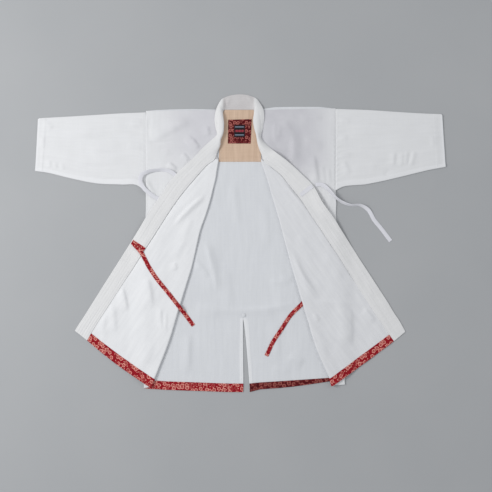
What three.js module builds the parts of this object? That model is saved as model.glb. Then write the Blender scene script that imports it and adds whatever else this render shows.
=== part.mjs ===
// Kendo jacket laid open on its back, in millimetres: the fronts are turned outwards along a slanting
// fold, so their insides show, and the ties lie loose. +X runs across the picture to the right, +Y
// towards the neck and +Z up from the floor, and the origin is under the middle. Left and right are as
// seen from above with the neck at the top.
import * as THREE from "three";

// Driving dimensions
const CLOTH = 1.5; // the body's woven cotton
const BAND = 3; // the collar band, made double
const FACING = 1; // facings, trims, the print square and the label
const TAPE_WIDTH = 12;
const TAPE = 1.2;
const TAPE_SLOPE = 0.4; // the steepest that a tie comes down off an edge
const SEAM = 0.3; // between two sewn edges, and between a piece and what it lies on
const ROOM = 2.1; // between the two layers of a sleeve or of the body
const PINCH = 22; // how far from its shoulder or side seam a front comes down to the back
const DRAPE = 55; // how far past the side seam a turned-back front takes to come down to the floor
const TURN_REACH = 45; // how far from the fold a turned-back front takes to lie flat
const HEM_TRIM = 26; // height of the back's hem trim
const BACK_LENGTH = 887; // along the vent's line
const BACK_FLAT = 0.12; // share of the back's length, at both ends, over which its folds fade
const FLAP_FLAT = 0.2; // share of a turned-back front's width, at both edges, over which its folds fade
const FLAP_END = 0.45; // between a turned-back front's edge and the band's
const NECK_CLEAR = 3; // between a front's edge and the band's sewn edge at the neck
const ARMHOLE = { low: 140, high: 165 }; // heights where a front's side stops coming down to the back
const OVER_TRIM = { low: -390, high: -365 }; // heights between which a front rises to clear the back's trim
const ROLL = { first: 2.1, second: 1.6, rise: 1.3 }; // how far a roll pulls the band's section
const SKY = 100; // a height above all of the jacket

// Heights of the middle of each layer of cloth
const BACK_LEVEL = CLOTH / 2;
const FRONT_LEVEL = BACK_LEVEL + CLOTH + ROOM;
const SEWN_LEVEL = BACK_LEVEL + CLOTH + SEAM;
const FLAP_UNDERSIDE = FRONT_LEVEL + CLOTH / 2 + ROOM;

// Divisions of the meshes
const ACROSS_FRONT = 6;
const ACROSS_FLAP = 7;
const TURN_STEPS = 5;
const ACROSS_BAND = 6;
const ACROSS_SLEEVE = 6;
const SLEEVE_END_STEPS = 4;
const TIE_STEP = 14;

const COLOURS = { outside: 0xe4e2df, inside: 0xcfd1d6, beige: 0xc3a58a, red: 0xa31c30, black: 0x17171a };

// A table's rows as objects, with the columns named once.
function table(columns, rows) {
  const names = columns.split(" ");
  return rows.map((row) => Object.fromEntries(names.map((name, i) => [name, row[i]])));
}

// A row for each station of a front from under the neck to the hem: the side of the body (outer), the
// line on which the front turns back (fold), the band's sewn edge (seam) and its free edge (free), the
// middle radius of the turn, and how far the row bows towards the hem.
const FRONT_COLUMNS = "outerX outerY foldX foldY seamX seamY freeX freeY turn bow";
const FRONT_ROWS = {
  left: table(FRONT_COLUMNS, [
    [-297, 222, -68, 262, -80, 265, -119, 299, 1.9, 0],
    [-297, 190, -73, 235, -104, 246, -142, 274, 1.9, 0],
    [-297, 163, -78, 202, -129, 219, -166, 251, 2.0, 0],
    [-297, 136, -86, 170, -155, 189, -193, 226, 2.0, 0],
    [-297, 108, -94, 137, -181, 158, -220, 195, 2.1, 0],
    [-298, 78, -108, 91, -214, 113, -256, 142, 2.2, 0],
    [-298, 36, -127, 36, -249, 59, -292, 89, 2.3, 0],
    [-299, -15, -138, -12, -277, 15, -321, 41, 2.4, 0],
    [-299, -68, -150, -65, -306, -29, -350, -5, 2.5, 0],
    [-300, -140, -172, -138, -338, -79, -381, -54, 2.6, 0],
    [-301, -214, -195, -213, -373, -132, -416, -109, 2.8, 0],
    [-302, -308, -223, -306, -415, -197, -457, -174, 3.0, 0],
    [-303, -392, -255, -390, -455, -259, -496, -236, 3.2, 3],
    [-303, -429, -269, -426, -470, -284, -512, -260, 3.3, 4],
    [-303, -455, -280, -453, -482, -306, -521, -275, 3.3, 6],
  ]),
  right: table(FRONT_COLUMNS, [
    [299, 222, 64, 262, 74, 257, 112, 284, 1.9, 0],
    [299, 192, 71, 240, 100, 237, 138, 265, 2.0, 0],
    [299, 166, 79, 217, 129, 213, 164, 244, 2.1, 0],
    [300, 146, 88, 188, 157, 178, 196, 214, 2.2, 0],
    [301, 124, 98, 152, 185, 144, 227, 183, 2.3, 0],
    [300, 95, 112, 106, 219, 93, 257, 128, 2.4, 0],
    [302, 60, 126, 57, 248, 50, 291, 83, 2.5, 0],
    [304, 10, 138, 10, 277, 6, 320, 37, 2.7, 0],
    [306, -42, 152, -40, 306, -37, 349, -8, 2.9, 0],
    [308, -90, 164, -84, 334, -81, 377, -52, 3.1, 0],
    [311, -145, 180, -138, 364, -129, 407, -98, 3.3, 0],
    [313, -195, 195, -189, 392, -173, 435, -141, 3.5, 0],
    [317, -260, 215, -255, 422, -219, 464, -186, 3.8, 0],
    [321, -325, 234, -319, 448, -258, 489, -227, 4.1, 0],
    [325, -388, 262, -386, 454, -268, 496, -237, 4.3, 0],
    [327, -424, 279, -424, 468.5, -288, 508.5, -258, 4.3, 1],
    [328, -444, 286, -448, 483, -308, 519, -278, 4.3, 2],
  ]),
};

// A row for each station of the collar band from the middle of the back neck to the first row above,
// where the band stands and rolls over towards the shoulder. reach is how far the roll leans in over the
// neck and rise how high it pulls; outer is the front's far edge at that row, where a front meets it.
const NECK_COLUMNS = "seamX seamY seamZ freeX freeY freeZ reach rise outerX outerY";
const NECK_ROWS = {
  left: table(NECK_COLUMNS, [
    [-22, 420, 1.5, -22, 467, 1.5, 0, 0.6],
    [-40, 420, 1.5, -44, 461, 1.5, 0, 1.5],
    [-49, 420, 2.6, -59, 453, 1.8, 0, 6],
    [-53.5, 418, 5.2, -69, 438, 3.4, 3, 10],
    [-58, 410, 5.4, -76, 420, 5.8, 7, 13, -297, 404],
    [-65, 392, 5.2, -81, 394, 7.4, 13, 15, -297, 385],
    [-67, 364, 5.2, -78, 363, 7.0, 14, 16, -297, 352],
    [-69, 335, 5.2, -74, 342, 7.0, 11, 17, -297, 316],
    [-71, 306, 5.2, -92, 324, 7.2, 12, 12, -297, 282],
    [-74, 284, 5.6, -106, 311, 7.8, 7, 7, -297, 252],
  ]),
  right: table(NECK_COLUMNS, [
    [10, 420, 1.5, 12, 468, 1.5, 0, 0.6],
    [30, 420, 1.5, 34, 463, 1.5, 0, 1.5],
    [40, 420, 2.6, 51, 455, 1.8, 0, 6],
    [45.5, 418, 5.2, 63, 439, 3.4, 8, 10],
    [51, 410, 5.4, 72, 422, 5.8, 13, 11, 299, 412],
    [57, 392, 5.2, 75, 397, 7.8, 17.5, 13, 299, 393],
    [58, 362, 5.2, 71, 362, 7.0, 14, 15, 299, 358],
    [60, 332, 5.2, 65, 331, 7.0, 8, 18, 299, 322],
    [63, 302, 5.2, 83, 309, 7.2, 9, 14, 299, 286],
    [67, 279, 6.2, 98, 296, 7.8, 6, 8, 299, 254],
  ]),
};

// The ends of each front's shoulder seam.
const SHOULDER = {
  left: { innerX: -59, innerY: 418.5, outerX: -297, outerY: 416 },
  right: { innerX: 53, innerY: 418.5, outerX: 299, outerY: 424 },
};

// The back's top and bottom edges and the height of its hem trim, a row for each column of its cloth.
const BACK_EDGES = table("topX topY hemX hemY trim", [
  [-297, 416, -303, -456, HEM_TRIM],
  [-265, 419, -284, -458, HEM_TRIM],
  [-215, 421, -235, -461, HEM_TRIM],
  [-160, 422, -180, -463, HEM_TRIM],
  [-110, 421.5, -120, -465, HEM_TRIM],
  [-62, 420, -70, -467, HEM_TRIM],
  [-51, 419.6, -34, -468, HEM_TRIM],
  [9.5, 419.6, 9.5, -468, HEM_TRIM],
  [43, 419.6, 44, -464, 24],
  [56, 420, 62, -459.5, 21],
  [108, 428, 125, -455, 20.5],
  [150, 429, 165, -451, 19.2],
  [200, 429, 203, -446, 16.7],
  [247, 429, 270, -436, 11.3],
  [285, 425, 300, -431, 10],
  [299, 421, 327, -429, 10],
]);
// The vent splits one of those columns from its apex down, and curve is how soon it opens.
const VENT = { column: 7, x: 9.5, apexY: -234, leftX: 8, rightX: 29.5, curve: 0.62 };
const TRIM_STATION = HEM_TRIM / BACK_LENGTH;
const BACK_STATIONS = [
  0, TRIM_STATION, 0.1, 0.18, 0.23, 0.2635, 0.34, 0.42, 0.5, 0.58, 0.66, 0.74, 0.82, 0.9, 0.96, 1,
];

// Each sleeve from the armhole to the cuff: its folded top edge and its sewn underside.
const SLEEVE_COLUMNS = "topX topY underX underY";
const SLEEVE_ROWS = {
  left: table(SLEEVE_COLUMNS, [
    [-297.8, 412, -297.8, 163],
    [-326, 411, -323, 181],
    [-375, 409, -372, 184],
    [-440, 405, -445, 187],
    [-520, 400, -530, 203],
    [-590, 396, -604, 221],
    [-636, 393, -645, 227],
  ]),
  right: table(SLEEVE_COLUMNS, [
    [299.8, 423, 299.8, 166],
    [328, 422, 322, 177],
    [388, 420, 394, 185],
    [442, 417, 446, 195],
    [500, 413, 506, 209],
    [588, 408, 598, 231],
    [634, 406, 645, 240],
  ]),
};

// The largest soft folds: each a ridge from one point to another, with its half width and height.
const FOLDS = {
  back: table("fromX fromY toX toY width height", [
    [-112, 10, -86, -78, 24, 4],
    [-86, -78, -74, -160, 24, 4],
    [-150, -205, -60, -222, 22, 3],
    [60, -216, 150, -186, 22, 3],
    [-160, -280, -163, -410, 26, 3],
    [150, -350, 200, -374, 22, 2.5],
  ]),
  leftFlap: table("fromX fromY toX toY width height", [
    [-114, 150, -180, 110, 20, 4],
    [-180, 110, -214, 60, 20, 4],
    [-360, -150, -366, -206, 26, 4],
    [-275, -140, -275, -205, 26, 3],
  ]),
  rightFlap: table("fromX fromY toX toY width height", [
    [146, -16, 190, -100, 22, 5],
    [190, -100, 244, -180, 24, 5],
    [150, 160, 236, 84, 18, 3],
    [322, -196, 330, -322, 26, 4],
  ]),
  leftOuter: table("fromX fromY toX toY width height", [
    [-148, 392, -240, 330, 26, 5],
    [-240, 330, -284, 312, 24, 4],
    [-172, 312, -150, 335, 18, 4],
  ]),
  rightOuter: table("fromX fromY toX toY width height", [
    [130, 390, 172, 318, 22, 6],
    [172, 318, 180, 282, 18, 4],
    [222, 300, 250, 200, 22, 6],
    [262, 396, 190, 396, 24, 4],
  ]),
  leftSleeve: table("fromX fromY toX toY width height", [
    [-340, 360, -560, 350, 30, 3],
    [-400, 230, -500, 236, 24, 2.5],
  ]),
  rightSleeve: table("fromX fromY toX toY width height", [
    [484, 300, 500, 240, 18, 3],
    [548, 300, 556, 250, 18, 3],
    [330, 300, 350, 220, 22, 3],
  ]),
};

// The ties, a row for each bend: turn is the tape's tilt about its own length, 0 where it lies flat.
const TIE_COLUMNS = "x y turn";
const TIES = {
  tie_red_left: table(TIE_COLUMNS, [
    [-339, 2, 0],
    [-312, -28, 0],
    [-287, -74, 0],
    [-264, -109, 0],
    [-227, -155, 0],
    [-194, -197, 0],
    [-148, -259, 0],
  ]),
  tie_white_right: table(TIE_COLUMNS, [
    [236, 184, 0],
    [255, 184, 10],
    [279, 166, 45],
    [299, 144, 60],
    [323, 128, 50],
    [348, 120, 60],
    [379, 119, 50],
    [400, 107, 20],
    [422, 72, 0],
    [441, 49, 0],
    [473, 7, 0],
  ]),
  tie_white_left: table(TIE_COLUMNS, [
    [-228, 122, 0],
    [-261, 141, 0],
    [-286, 157, 0],
    [-306, 178, 0],
    [-314, 198, 5],
    [-309, 214, 15],
    [-291, 224, 35],
    [-263, 229, 50],
    [-241, 230, 40],
    [-219, 225, 15],
    [-199, 209, 0],
    [-174, 180, 0],
    [-150, 156, 0],
  ]),
  tie_red_right: table(TIE_COLUMNS, [
    [276, -56, 0],
    [254, -98, 0],
    [226, -146, 0],
    [195, -189, 0],
    [160, -224, 0],
    [128, -272, 0],
    [104, -308, 0],
    [82, -354, 0],
  ]),
};

// The sewn ends of two ties, across the band's inner face.
const TIE_ROOTS = {
  tie_root_left: { from: [-301, -20], to: [-340, 5] },
  tie_root_right: { from: [189, 151], to: [226, 180] },
};

// Flat pieces on the inside of the back, by their corners.
const NECK_FACING = [
  [-48, 419.3], [38.5, 419.3], [43, 417], [50, 404], [56, 380], [66, 257],
  [-68, 257], [-61, 380], [-57, 408], [-51, 417],
];
const PRINT_SQUARE = [[-38, 388], [35, 390], [32, 314], [-39, 314]];
const LABEL = [[-20, 372], [14, 372], [14, 334], [-20, 334]];

function lerp(a, b, t) {
  return a + (b - a) * t;
}

// 0 before a, 1 after b, and smooth between.
function smooth(a, b, value) {
  const t = Math.min(Math.max((value - a) / (b - a), 0), 1);
  return t * t * (3 - 2 * t);
}

// The x of a front's side at a height on the body, as a distance from the middle line.
function sideReach(side, y) {
  const rows = FRONT_ROWS[side];
  let i = rows.findIndex((row) => row.outerY <= y);
  i = i < 0 ? rows.length - 1 : Math.max(i, 1);
  const [above, below] = [rows[i - 1], rows[i]];
  const t = Math.min(Math.max((above.outerY - y) / (above.outerY - below.outerY), 0), 1);
  return Math.abs(lerp(above.outerX, below.outerX, t));
}

// How much a piece's soft folds raise it at a point.
function foldLift(piece, x, y) {
  let lift = 0;
  for (const fold of FOLDS[piece]) {
    const [dx, dy] = [fold.toX - fold.fromX, fold.toY - fold.fromY];
    const along = ((x - fold.fromX) * dx + (y - fold.fromY) * dy) / (dx * dx + dy * dy);
    const t = Math.min(Math.max(along, 0), 1);
    const away = Math.hypot(x - fold.fromX - t * dx, y - fold.fromY - t * dy);
    lift = Math.max(lift, fold.height * Math.exp(-((away / fold.width) ** 2)));
  }
  return lift;
}

// The middle of a front's lower layer, which comes down to the back at its shoulder and side seams.
function lowerLevel(side, x, y) {
  const shoulder = SHOULDER[side];
  const along = (x - shoulder.innerX) / (shoulder.outerX - shoulder.innerX);
  const fromShoulder = lerp(shoulder.innerY, shoulder.outerY, along) - y;
  const armhole = PINCH * smooth(ARMHOLE.low, ARMHOLE.high, y);
  const fromSide = sideReach(side, y) - Math.abs(x) + armhole;
  const sewn = SEWN_LEVEL + (FACING + SEAM) * (1 - smooth(OVER_TRIM.low, OVER_TRIM.high, y));
  const level = lerp(sewn, FRONT_LEVEL, smooth(0, PINCH, Math.min(fromShoulder, fromSide)));
  return level + foldLift(`${side}Outer`, x, y) * smooth(0, 2 * PINCH, Math.min(fromShoulder, 40));
}

// The underside of what is turned back: on the body inside the side seam, and on the floor past it.
function flapUnderside(side, x, y) {
  return FLAP_UNDERSIDE * (1 - smooth(-5, DRAPE, Math.abs(x) - sideReach(side, y)));
}

// A cloth's middle surface, as points and the four-cornered patches between them.
class Surface {
  constructor() {
    this.points = [];
    this.patches = [];
    this.numbers = new Map();
  }

  number(point) {
    if (!this.numbers.has(point)) {
      this.numbers.set(point, this.points.length);
      this.points.push(point);
    }
    return this.numbers.get(point);
  }

  // Adds rows of points, a patch between each four neighbours that are there. A closed grid joins its
  // last column to its first, and grids that share points are joined there.
  grid(rows, closed = false) {
    for (let r = 0; r + 1 < rows.length; r++) {
      const columns = rows[r].length;
      for (let c = 0; c + (closed ? 0 : 1) < columns; c++) {
        const next = (c + 1) % columns;
        const corners = [rows[r][c], rows[r + 1][c], rows[r + 1][next], rows[r][next]];
        if (corners.every(Boolean)) {
          this.patches.push(corners.map((corner) => this.number(corner)));
        }
      }
    }
    return this;
  }

  triangles() {
    return this.patches.flatMap(([a, b, c, d]) => [[a, b, c], [a, c, d]]);
  }

  // The direction out of the surface at each point, weighed by area.
  normals() {
    const normals = this.points.map(() => new THREE.Vector3());
    for (const triangle of this.triangles()) {
      const [a, b, c] = triangle.map((i) => this.points[i]);
      const area = b.clone().sub(a).cross(c.clone().sub(a));
      triangle.forEach((i) => normals[i].add(area));
    }
    return normals.map((normal) => normal.normalize());
  }

  // The closed solid with this surface in its middle.
  solid(thickness) {
    const normals = this.normals();
    const count = this.points.length;
    const positions = [];
    for (const sign of [1, -1]) {
      this.points.forEach((point, i) => {
        const moved = point.clone().addScaledVector(normals[i], (sign * thickness) / 2);
        positions.push(moved.x, moved.y, moved.z);
      });
    }
    const triangles = this.triangles();
    const faces = triangles.flatMap(([a, b, c]) => [[a, b, c], [c + count, b + count, a + count]]);
    const edges = new Set();
    triangles.forEach(([a, b, c]) => [[a, b], [b, c], [c, a]].forEach((edge) => edges.add(edge.join())));
    for (const edge of edges) {
      const [from, to] = edge.split(",").map(Number);
      if (!edges.has([to, from].join())) {
        faces.push([from, from + count, to + count], [from, to + count, to]);
      }
    }
    return closedGeometry(positions, faces);
  }
}

// A geometry from positions and triangles, turned so that its faces point out.
function closedGeometry(positions, faces) {
  const corner = (i) => new THREE.Vector3().fromArray(positions, 3 * i);
  const volume = faces.reduce((sum, [a, b, c]) => sum + corner(a).dot(corner(b).cross(corner(c))), 0);
  const outward = volume > 0 ? faces : faces.map(([a, b, c]) => [c, b, a]);
  const geometry = new THREE.BufferGeometry();
  geometry.setAttribute("position", new THREE.Float32BufferAttribute(positions, 3));
  geometry.setIndex(outward.flat());
  geometry.computeVertexNormals();
  return geometry;
}

function cloth(name, geometry, color, roughness = 0.9) {
  const mesh = new THREE.Mesh(geometry, new THREE.MeshStandardMaterial({ color, roughness, metalness: 0 }));
  mesh.name = name;
  return mesh;
}

// Sleeves: flat tubes, open at the armhole and at the cuff
function sleeve(side) {
  const end = (FRONT_LEVEL - BACK_LEVEL) / 2;
  const middle = (FRONT_LEVEL + BACK_LEVEL) / 2;
  const rings = SLEEVE_ROWS[side].map((row) => {
    const top = new THREE.Vector3(row.topX, row.topY, middle);
    const under = new THREE.Vector3(row.underX, row.underY, middle);
    const up = top.clone().sub(under).normalize();
    top.addScaledVector(up, -end - CLOTH / 2);
    under.addScaledVector(up, end + CLOTH / 2);
    const ring = [];
    const arc = (centre, start) => {
      for (let i = 0; i <= SLEEVE_END_STEPS; i++) {
        const angle = start + (Math.PI * i) / SLEEVE_END_STEPS;
        const point = centre.clone().addScaledVector(up, end * Math.cos(angle));
        point.z += end * Math.sin(angle);
        ring.push(point);
      }
    };
    const wall = (from, to, level, folds) => {
      for (let i = 1; i < ACROSS_SLEEVE; i++) {
        const point = from.clone().lerp(to, i / ACROSS_SLEEVE);
        point.z = level + (folds ? foldLift(folds, point.x, point.y) : 0);
        ring.push(point);
      }
    };
    arc(top, -Math.PI / 2);
    wall(top, under, FRONT_LEVEL, `${side}Sleeve`);
    arc(under, Math.PI / 2);
    wall(under, top, BACK_LEVEL);
    return ring;
  });
  return cloth(`sleeve_${side}`, new Surface().grid(rings, true).solid(CLOTH), COLOURS.outside);
}

// Back: one width of cloth with a vent up its middle
function shareAcross(column, key) {
  const [left, right] = [BACK_EDGES[0][key], BACK_EDGES.at(-1)[key]];
  return (BACK_EDGES[column][key] - left) / (right - left);
}

function backPoint(column, station, x = null) {
  const { topY, hemY, trim } = BACK_EDGES[column];
  const above = (station - TRIM_STATION) / (1 - TRIM_STATION);
  const y = above < 0 ? hemY + (trim * station) / TRIM_STATION : lerp(hemY + trim, topY, above);
  const share = lerp(shareAcross(column, "hemX"), shareAcross(column, "topX"), station);
  const across = x ?? lerp(-sideReach("left", y), sideReach("right", y), share);
  const inside = smooth(0, BACK_FLAT, station) * smooth(0, BACK_FLAT, 1 - station);
  return new THREE.Vector3(across, y, BACK_LEVEL + foldLift("back", across, y) * inside);
}

// The rows of both sides, which share the vent's column from its apex up.
function backSides() {
  const left = [];
  const right = [];
  for (const station of BACK_STATIONS) {
    const columns = BACK_EDGES.map((edge, column) => backPoint(column, station));
    const middle = columns[VENT.column];
    const below = (VENT.apexY - middle.y) / (VENT.apexY - BACK_EDGES[VENT.column].hemY);
    const open = Math.max(below, 0) ** VENT.curve;
    const edge = (x) => (below > 0.01 ? backPoint(VENT.column, station, lerp(VENT.x, x, open)) : middle);
    left.push([...columns.slice(0, VENT.column), edge(VENT.leftX)]);
    right.push([edge(VENT.rightX), ...columns.slice(VENT.column + 1)]);
  }
  return { left, right };
}

// Points moved out of the surface that they lie in, by a distance along its normals.
function movedOut(rows, distance) {
  const surface = new Surface().grid(rows);
  const normals = surface.normals();
  const lift = normals[0].z < 0 ? -distance : distance;
  return rows.map((row) =>
    row.map((point) => point.clone().addScaledVector(normals[surface.points.indexOf(point)], lift)),
  );
}

const ON_CLOTH = CLOTH / 2 + SEAM + FACING / 2;

function backWithTrims() {
  const sides = backSides();
  const surface = new Surface().grid(sides.left).grid(sides.right);
  const trims = Object.entries(sides).map(([side, rows]) => {
    const strip = new Surface().grid(movedOut(rows.slice(0, 2), ON_CLOTH));
    return cloth(`hem_trim_back_${side}`, strip.solid(FACING), COLOURS.red);
  });
  return [cloth("back", surface.solid(CLOTH), COLOURS.inside), ...trims];
}

// Fronts: one sheet each, turned back on itself along the fold
function lowerRow(side, outer, inner) {
  const length = outer.distanceTo(inner);
  const first = [0, Math.min(10 / length, 0.25), Math.min(PINCH / length, 0.5)];
  const count = ACROSS_FRONT - 2;
  const rest = Array.from({ length: count }, (_, i) => lerp(first[2], 1, (i + 1) / count));
  return [...first, ...rest].map((t) => {
    const point = outer.clone().lerp(inner, t);
    return new THREE.Vector3(point.x, point.y, lowerLevel(side, point.x, point.y));
  });
}

function foldedRow(side, row, along) {
  const outward = new THREE.Vector2(-along.y, along.x).multiplyScalar(side === "left" ? 1 : -1);
  const fold = new THREE.Vector2(row.foldX, row.foldY);
  const depth = row.turn + CLOTH / 2;
  const centre = fold.clone().addScaledVector(outward, -depth);
  const outer = new THREE.Vector2(row.outerX, row.outerY);
  const lower = lowerRow(side, outer, centre);
  const low = lower.at(-1).z;
  const high = FRONT_LEVEL + 2 * row.turn;
  const radius = (high - low) / 2;
  const turn = [];
  for (let i = 1; i < TURN_STEPS; i++) {
    const angle = -Math.PI / 2 + (Math.PI * i) / TURN_STEPS;
    const point = centre.clone().addScaledVector(outward, row.turn * Math.cos(angle));
    turn.push(new THREE.Vector3(point.x, point.y, low + radius + radius * Math.sin(angle)));
  }
  const seam = new THREE.Vector2(row.seamX, row.seamY);
  const reach = seam.distanceTo(centre);
  const free = new THREE.Vector2(row.freeX, row.freeY);
  const end = seam.clone().addScaledVector(seam.clone().sub(free).normalize(), FLAP_END);
  const flap = [];
  for (let i = 0; i <= ACROSS_FLAP; i++) {
    const t = i / ACROSS_FLAP;
    const point = centre.clone().lerp(end, t);
    point.addScaledVector(along, row.bow * Math.sin(Math.PI * t));
    const rest = flapUnderside(side, point.x, point.y) + CLOTH / 2;
    const inside = smooth(0, FLAP_FLAT, t) * smooth(0, FLAP_FLAT, 1 - t);
    const lifted = foldLift(`${side}Flap`, point.x, point.y) * inside;
    const settle = (1 - smooth(0, TURN_REACH, t * reach)) * (1 - t);
    flap.push(new THREE.Vector3(point.x, point.y, i === 0 ? high : rest + lifted + settle * (high - rest)));
  }
  return { lower, turn, flap };
}

function alongFold(rows, i) {
  const [before, after] = [rows[Math.max(i - 1, 0)], rows[Math.min(i + 1, rows.length - 1)]];
  return new THREE.Vector2(after.foldX - before.foldX, after.foldY - before.foldY).normalize();
}

function front(side) {
  const inward = side === "left" ? 1 : -1;
  const shoulder = SHOULDER[side];
  const shoulderRow = lowerRow(
    side,
    new THREE.Vector2(shoulder.outerX, shoulder.outerY),
    new THREE.Vector2(shoulder.innerX - inward * NECK_CLEAR, shoulder.innerY),
  );
  const neck = NECK_ROWS[side].filter((row) => row.outerX !== undefined);
  const neckRows = neck.map((row) => {
    const inner = new THREE.Vector2(row.seamX - inward * NECK_CLEAR, row.seamY);
    return lowerRow(side, new THREE.Vector2(row.outerX, row.outerY), inner);
  });
  const folded = FRONT_ROWS[side].map((row, i) => foldedRow(side, row, alongFold(FRONT_ROWS[side], i)));
  const gap = new Array(TURN_STEPS - 1 + ACROSS_FLAP + 1).fill(null);
  const rows = [shoulderRow, ...neckRows].map((row) => [...row, ...gap]);
  rows.push(...folded.map(({ lower, turn, flap }) => [...lower, ...turn, ...flap]));
  const hem = folded.slice(-2).map(({ turn, flap }) => [...turn.slice(-2), ...flap]);
  const strip = new Surface().grid(movedOut(hem, ON_CLOTH));
  return [
    cloth(`front_${side}`, new Surface().grid(rows).solid(CLOTH), COLOURS.outside),
    cloth(`hem_trim_front_${side}`, strip.solid(FACING), COLOURS.red),
  ];
}

// Collar band: one long double strip round the neck, rolled over at its sides and flat along the turned
// fronts
function bandSection(seam, free, reach, rise) {
  const inward = seam.clone().sub(free).setZ(0).normalize();
  const first = seam.clone().lerp(free, 1 / 3).addScaledVector(inward, ROLL.first * reach);
  const second = seam.clone().lerp(free, 2 / 3).addScaledVector(inward, ROLL.second * reach);
  first.z += reach > 0 ? 0 : rise;
  second.z += rise * ROLL.rise;
  return new THREE.CubicBezierCurve3(seam, first, second, free).getPoints(ACROSS_BAND);
}

function collarBand() {
  const half = (side) => {
    const neck = NECK_ROWS[side].map((row) =>
      bandSection(
        new THREE.Vector3(row.seamX, row.seamY, row.seamZ),
        new THREE.Vector3(row.freeX, row.freeY, row.freeZ),
        row.reach,
        row.rise,
      ),
    );
    const flat = FRONT_ROWS[side].map((row) => {
      const level = (x, y) => flapUnderside(side, x, y) + BAND / 2;
      const seam = new THREE.Vector3(row.seamX, row.seamY, level(row.seamX, row.seamY));
      const free = new THREE.Vector3(row.freeX, row.freeY, level(row.freeX, row.freeY));
      return bandSection(seam, free, 0, 0);
    });
    return [...neck, ...flat];
  };
  const rows = [...half("left").reverse(), ...half("right")];
  return cloth("collar_band", new Surface().grid(rows).solid(BAND), COLOURS.outside);
}

// Flat pieces on the inside of the back, each lying on the one before
function flatPiece(name, corners, underside, color) {
  const shape = new THREE.Shape(corners.map(([x, y]) => new THREE.Vector2(x, y)));
  const geometry = new THREE.ExtrudeGeometry(shape, { depth: FACING, bevelEnabled: false });
  const mesh = cloth(name, geometry, color);
  mesh.position.z = underside;
  return mesh;
}

// Ties: flat tapes that follow what they lie on
function restHeight(carriers, x, y, ceiling = SKY) {
  const ray = new THREE.Raycaster(new THREE.Vector3(x, y, ceiling), new THREE.Vector3(0, 0, -1));
  const hits = ray.intersectObjects(carriers, false);
  return hits.length ? hits[0].point.z : 0;
}

function highestUnder(carriers, ceiling, point, across, along) {
  const half = TAPE_WIDTH / 2;
  let highest = 0;
  for (const side of [-half, 0, half]) {
    for (const ahead of [-TIE_STEP, -half, 0, half, TIE_STEP]) {
      const x = point.x + across.x * side + along.x * ahead;
      const y = point.y + across.y * side + along.y * ahead;
      highest = Math.max(highest, restHeight(carriers, x, y, ceiling));
    }
  }
  return highest;
}

// A ceiling keeps the tie under the cloth above it.
function tie(name, rows, carriers, color, ceiling) {
  const bends = rows.map(({ x, y, turn }) => new THREE.Vector3(x, y, turn));
  const route = new THREE.CatmullRomCurve3(bends, false, "catmullrom");
  const steps = Math.ceil(route.getLength() / TIE_STEP);
  const places = Array.from({ length: steps + 1 }, (_, i) => {
    const t = i / steps;
    const point = route.getPoint(t);
    const along = route.getTangent(t).setZ(0).normalize();
    const across = new THREE.Vector3(-along.y, along.x, 0);
    const tilt = THREE.MathUtils.degToRad(Math.max(point.z, 0));
    const stand = (TAPE * Math.cos(tilt) + TAPE_WIDTH * Math.sin(tilt)) / 2;
    const z = highestUnder(carriers, ceiling, point, across, along) + SEAM + stand;
    return { centre: new THREE.Vector3(point.x, point.y, z), across, tilt };
  });
  for (const order of [places, [...places].reverse()]) {
    order.slice(1).forEach(({ centre }, i) => {
      const before = order[i].centre;
      const fall = TAPE_SLOPE * Math.hypot(centre.x - before.x, centre.y - before.y);
      centre.z = Math.max(centre.z, before.z - fall);
    });
  }
  const grid = places.map(({ centre, across, tilt }) =>
    [-0.5, 0.5].map((share) => {
      const reach = share * TAPE_WIDTH;
      const point = centre.clone().addScaledVector(across, reach * Math.cos(tilt));
      point.z += reach * Math.sin(tilt);
      return point;
    }),
  );
  return cloth(name, new Surface().grid(grid).solid(TAPE), color);
}

function tieRoot(name, { from, to }, carriers, color) {
  const [start, end] = [new THREE.Vector3(...from, 0), new THREE.Vector3(...to, 0)];
  const along = end.clone().sub(start).normalize();
  const across = new THREE.Vector3(-along.y, along.x, 0);
  const grid = [0, 0.25, 0.5, 0.75, 1].map((t) => {
    const middle = start.clone().lerp(end, t);
    return [-0.5, 0.5].map((share) => {
      const point = middle.clone().addScaledVector(across, share * TAPE_WIDTH);
      point.z = restHeight(carriers, point.x, point.y) + SEAM + TAPE / 2;
      return point;
    });
  });
  return cloth(name, new Surface().grid(grid).solid(TAPE), color);
}

const jacket = new THREE.Group();
const [back, ...backTrims] = backWithTrims();
const [frontLeft, trimLeft] = front("left");
const [frontRight, trimRight] = front("right");
const sleeveLeft = sleeve("left");
const sleeveRight = sleeve("right");
const band = collarBand();
jacket.add(back, ...backTrims, frontLeft, trimLeft, frontRight, trimRight, sleeveLeft, sleeveRight, band);

const onBack = CLOTH + SEAM;
const onFacing = onBack + FACING + SEAM;
const onPrint = onFacing + FACING + SEAM;
jacket.add(flatPiece("neck_facing", NECK_FACING, onBack, COLOURS.beige));
jacket.add(flatPiece("print_square", PRINT_SQUARE, onFacing, COLOURS.red));
jacket.add(flatPiece("label", LABEL, onPrint, COLOURS.black));

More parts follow.
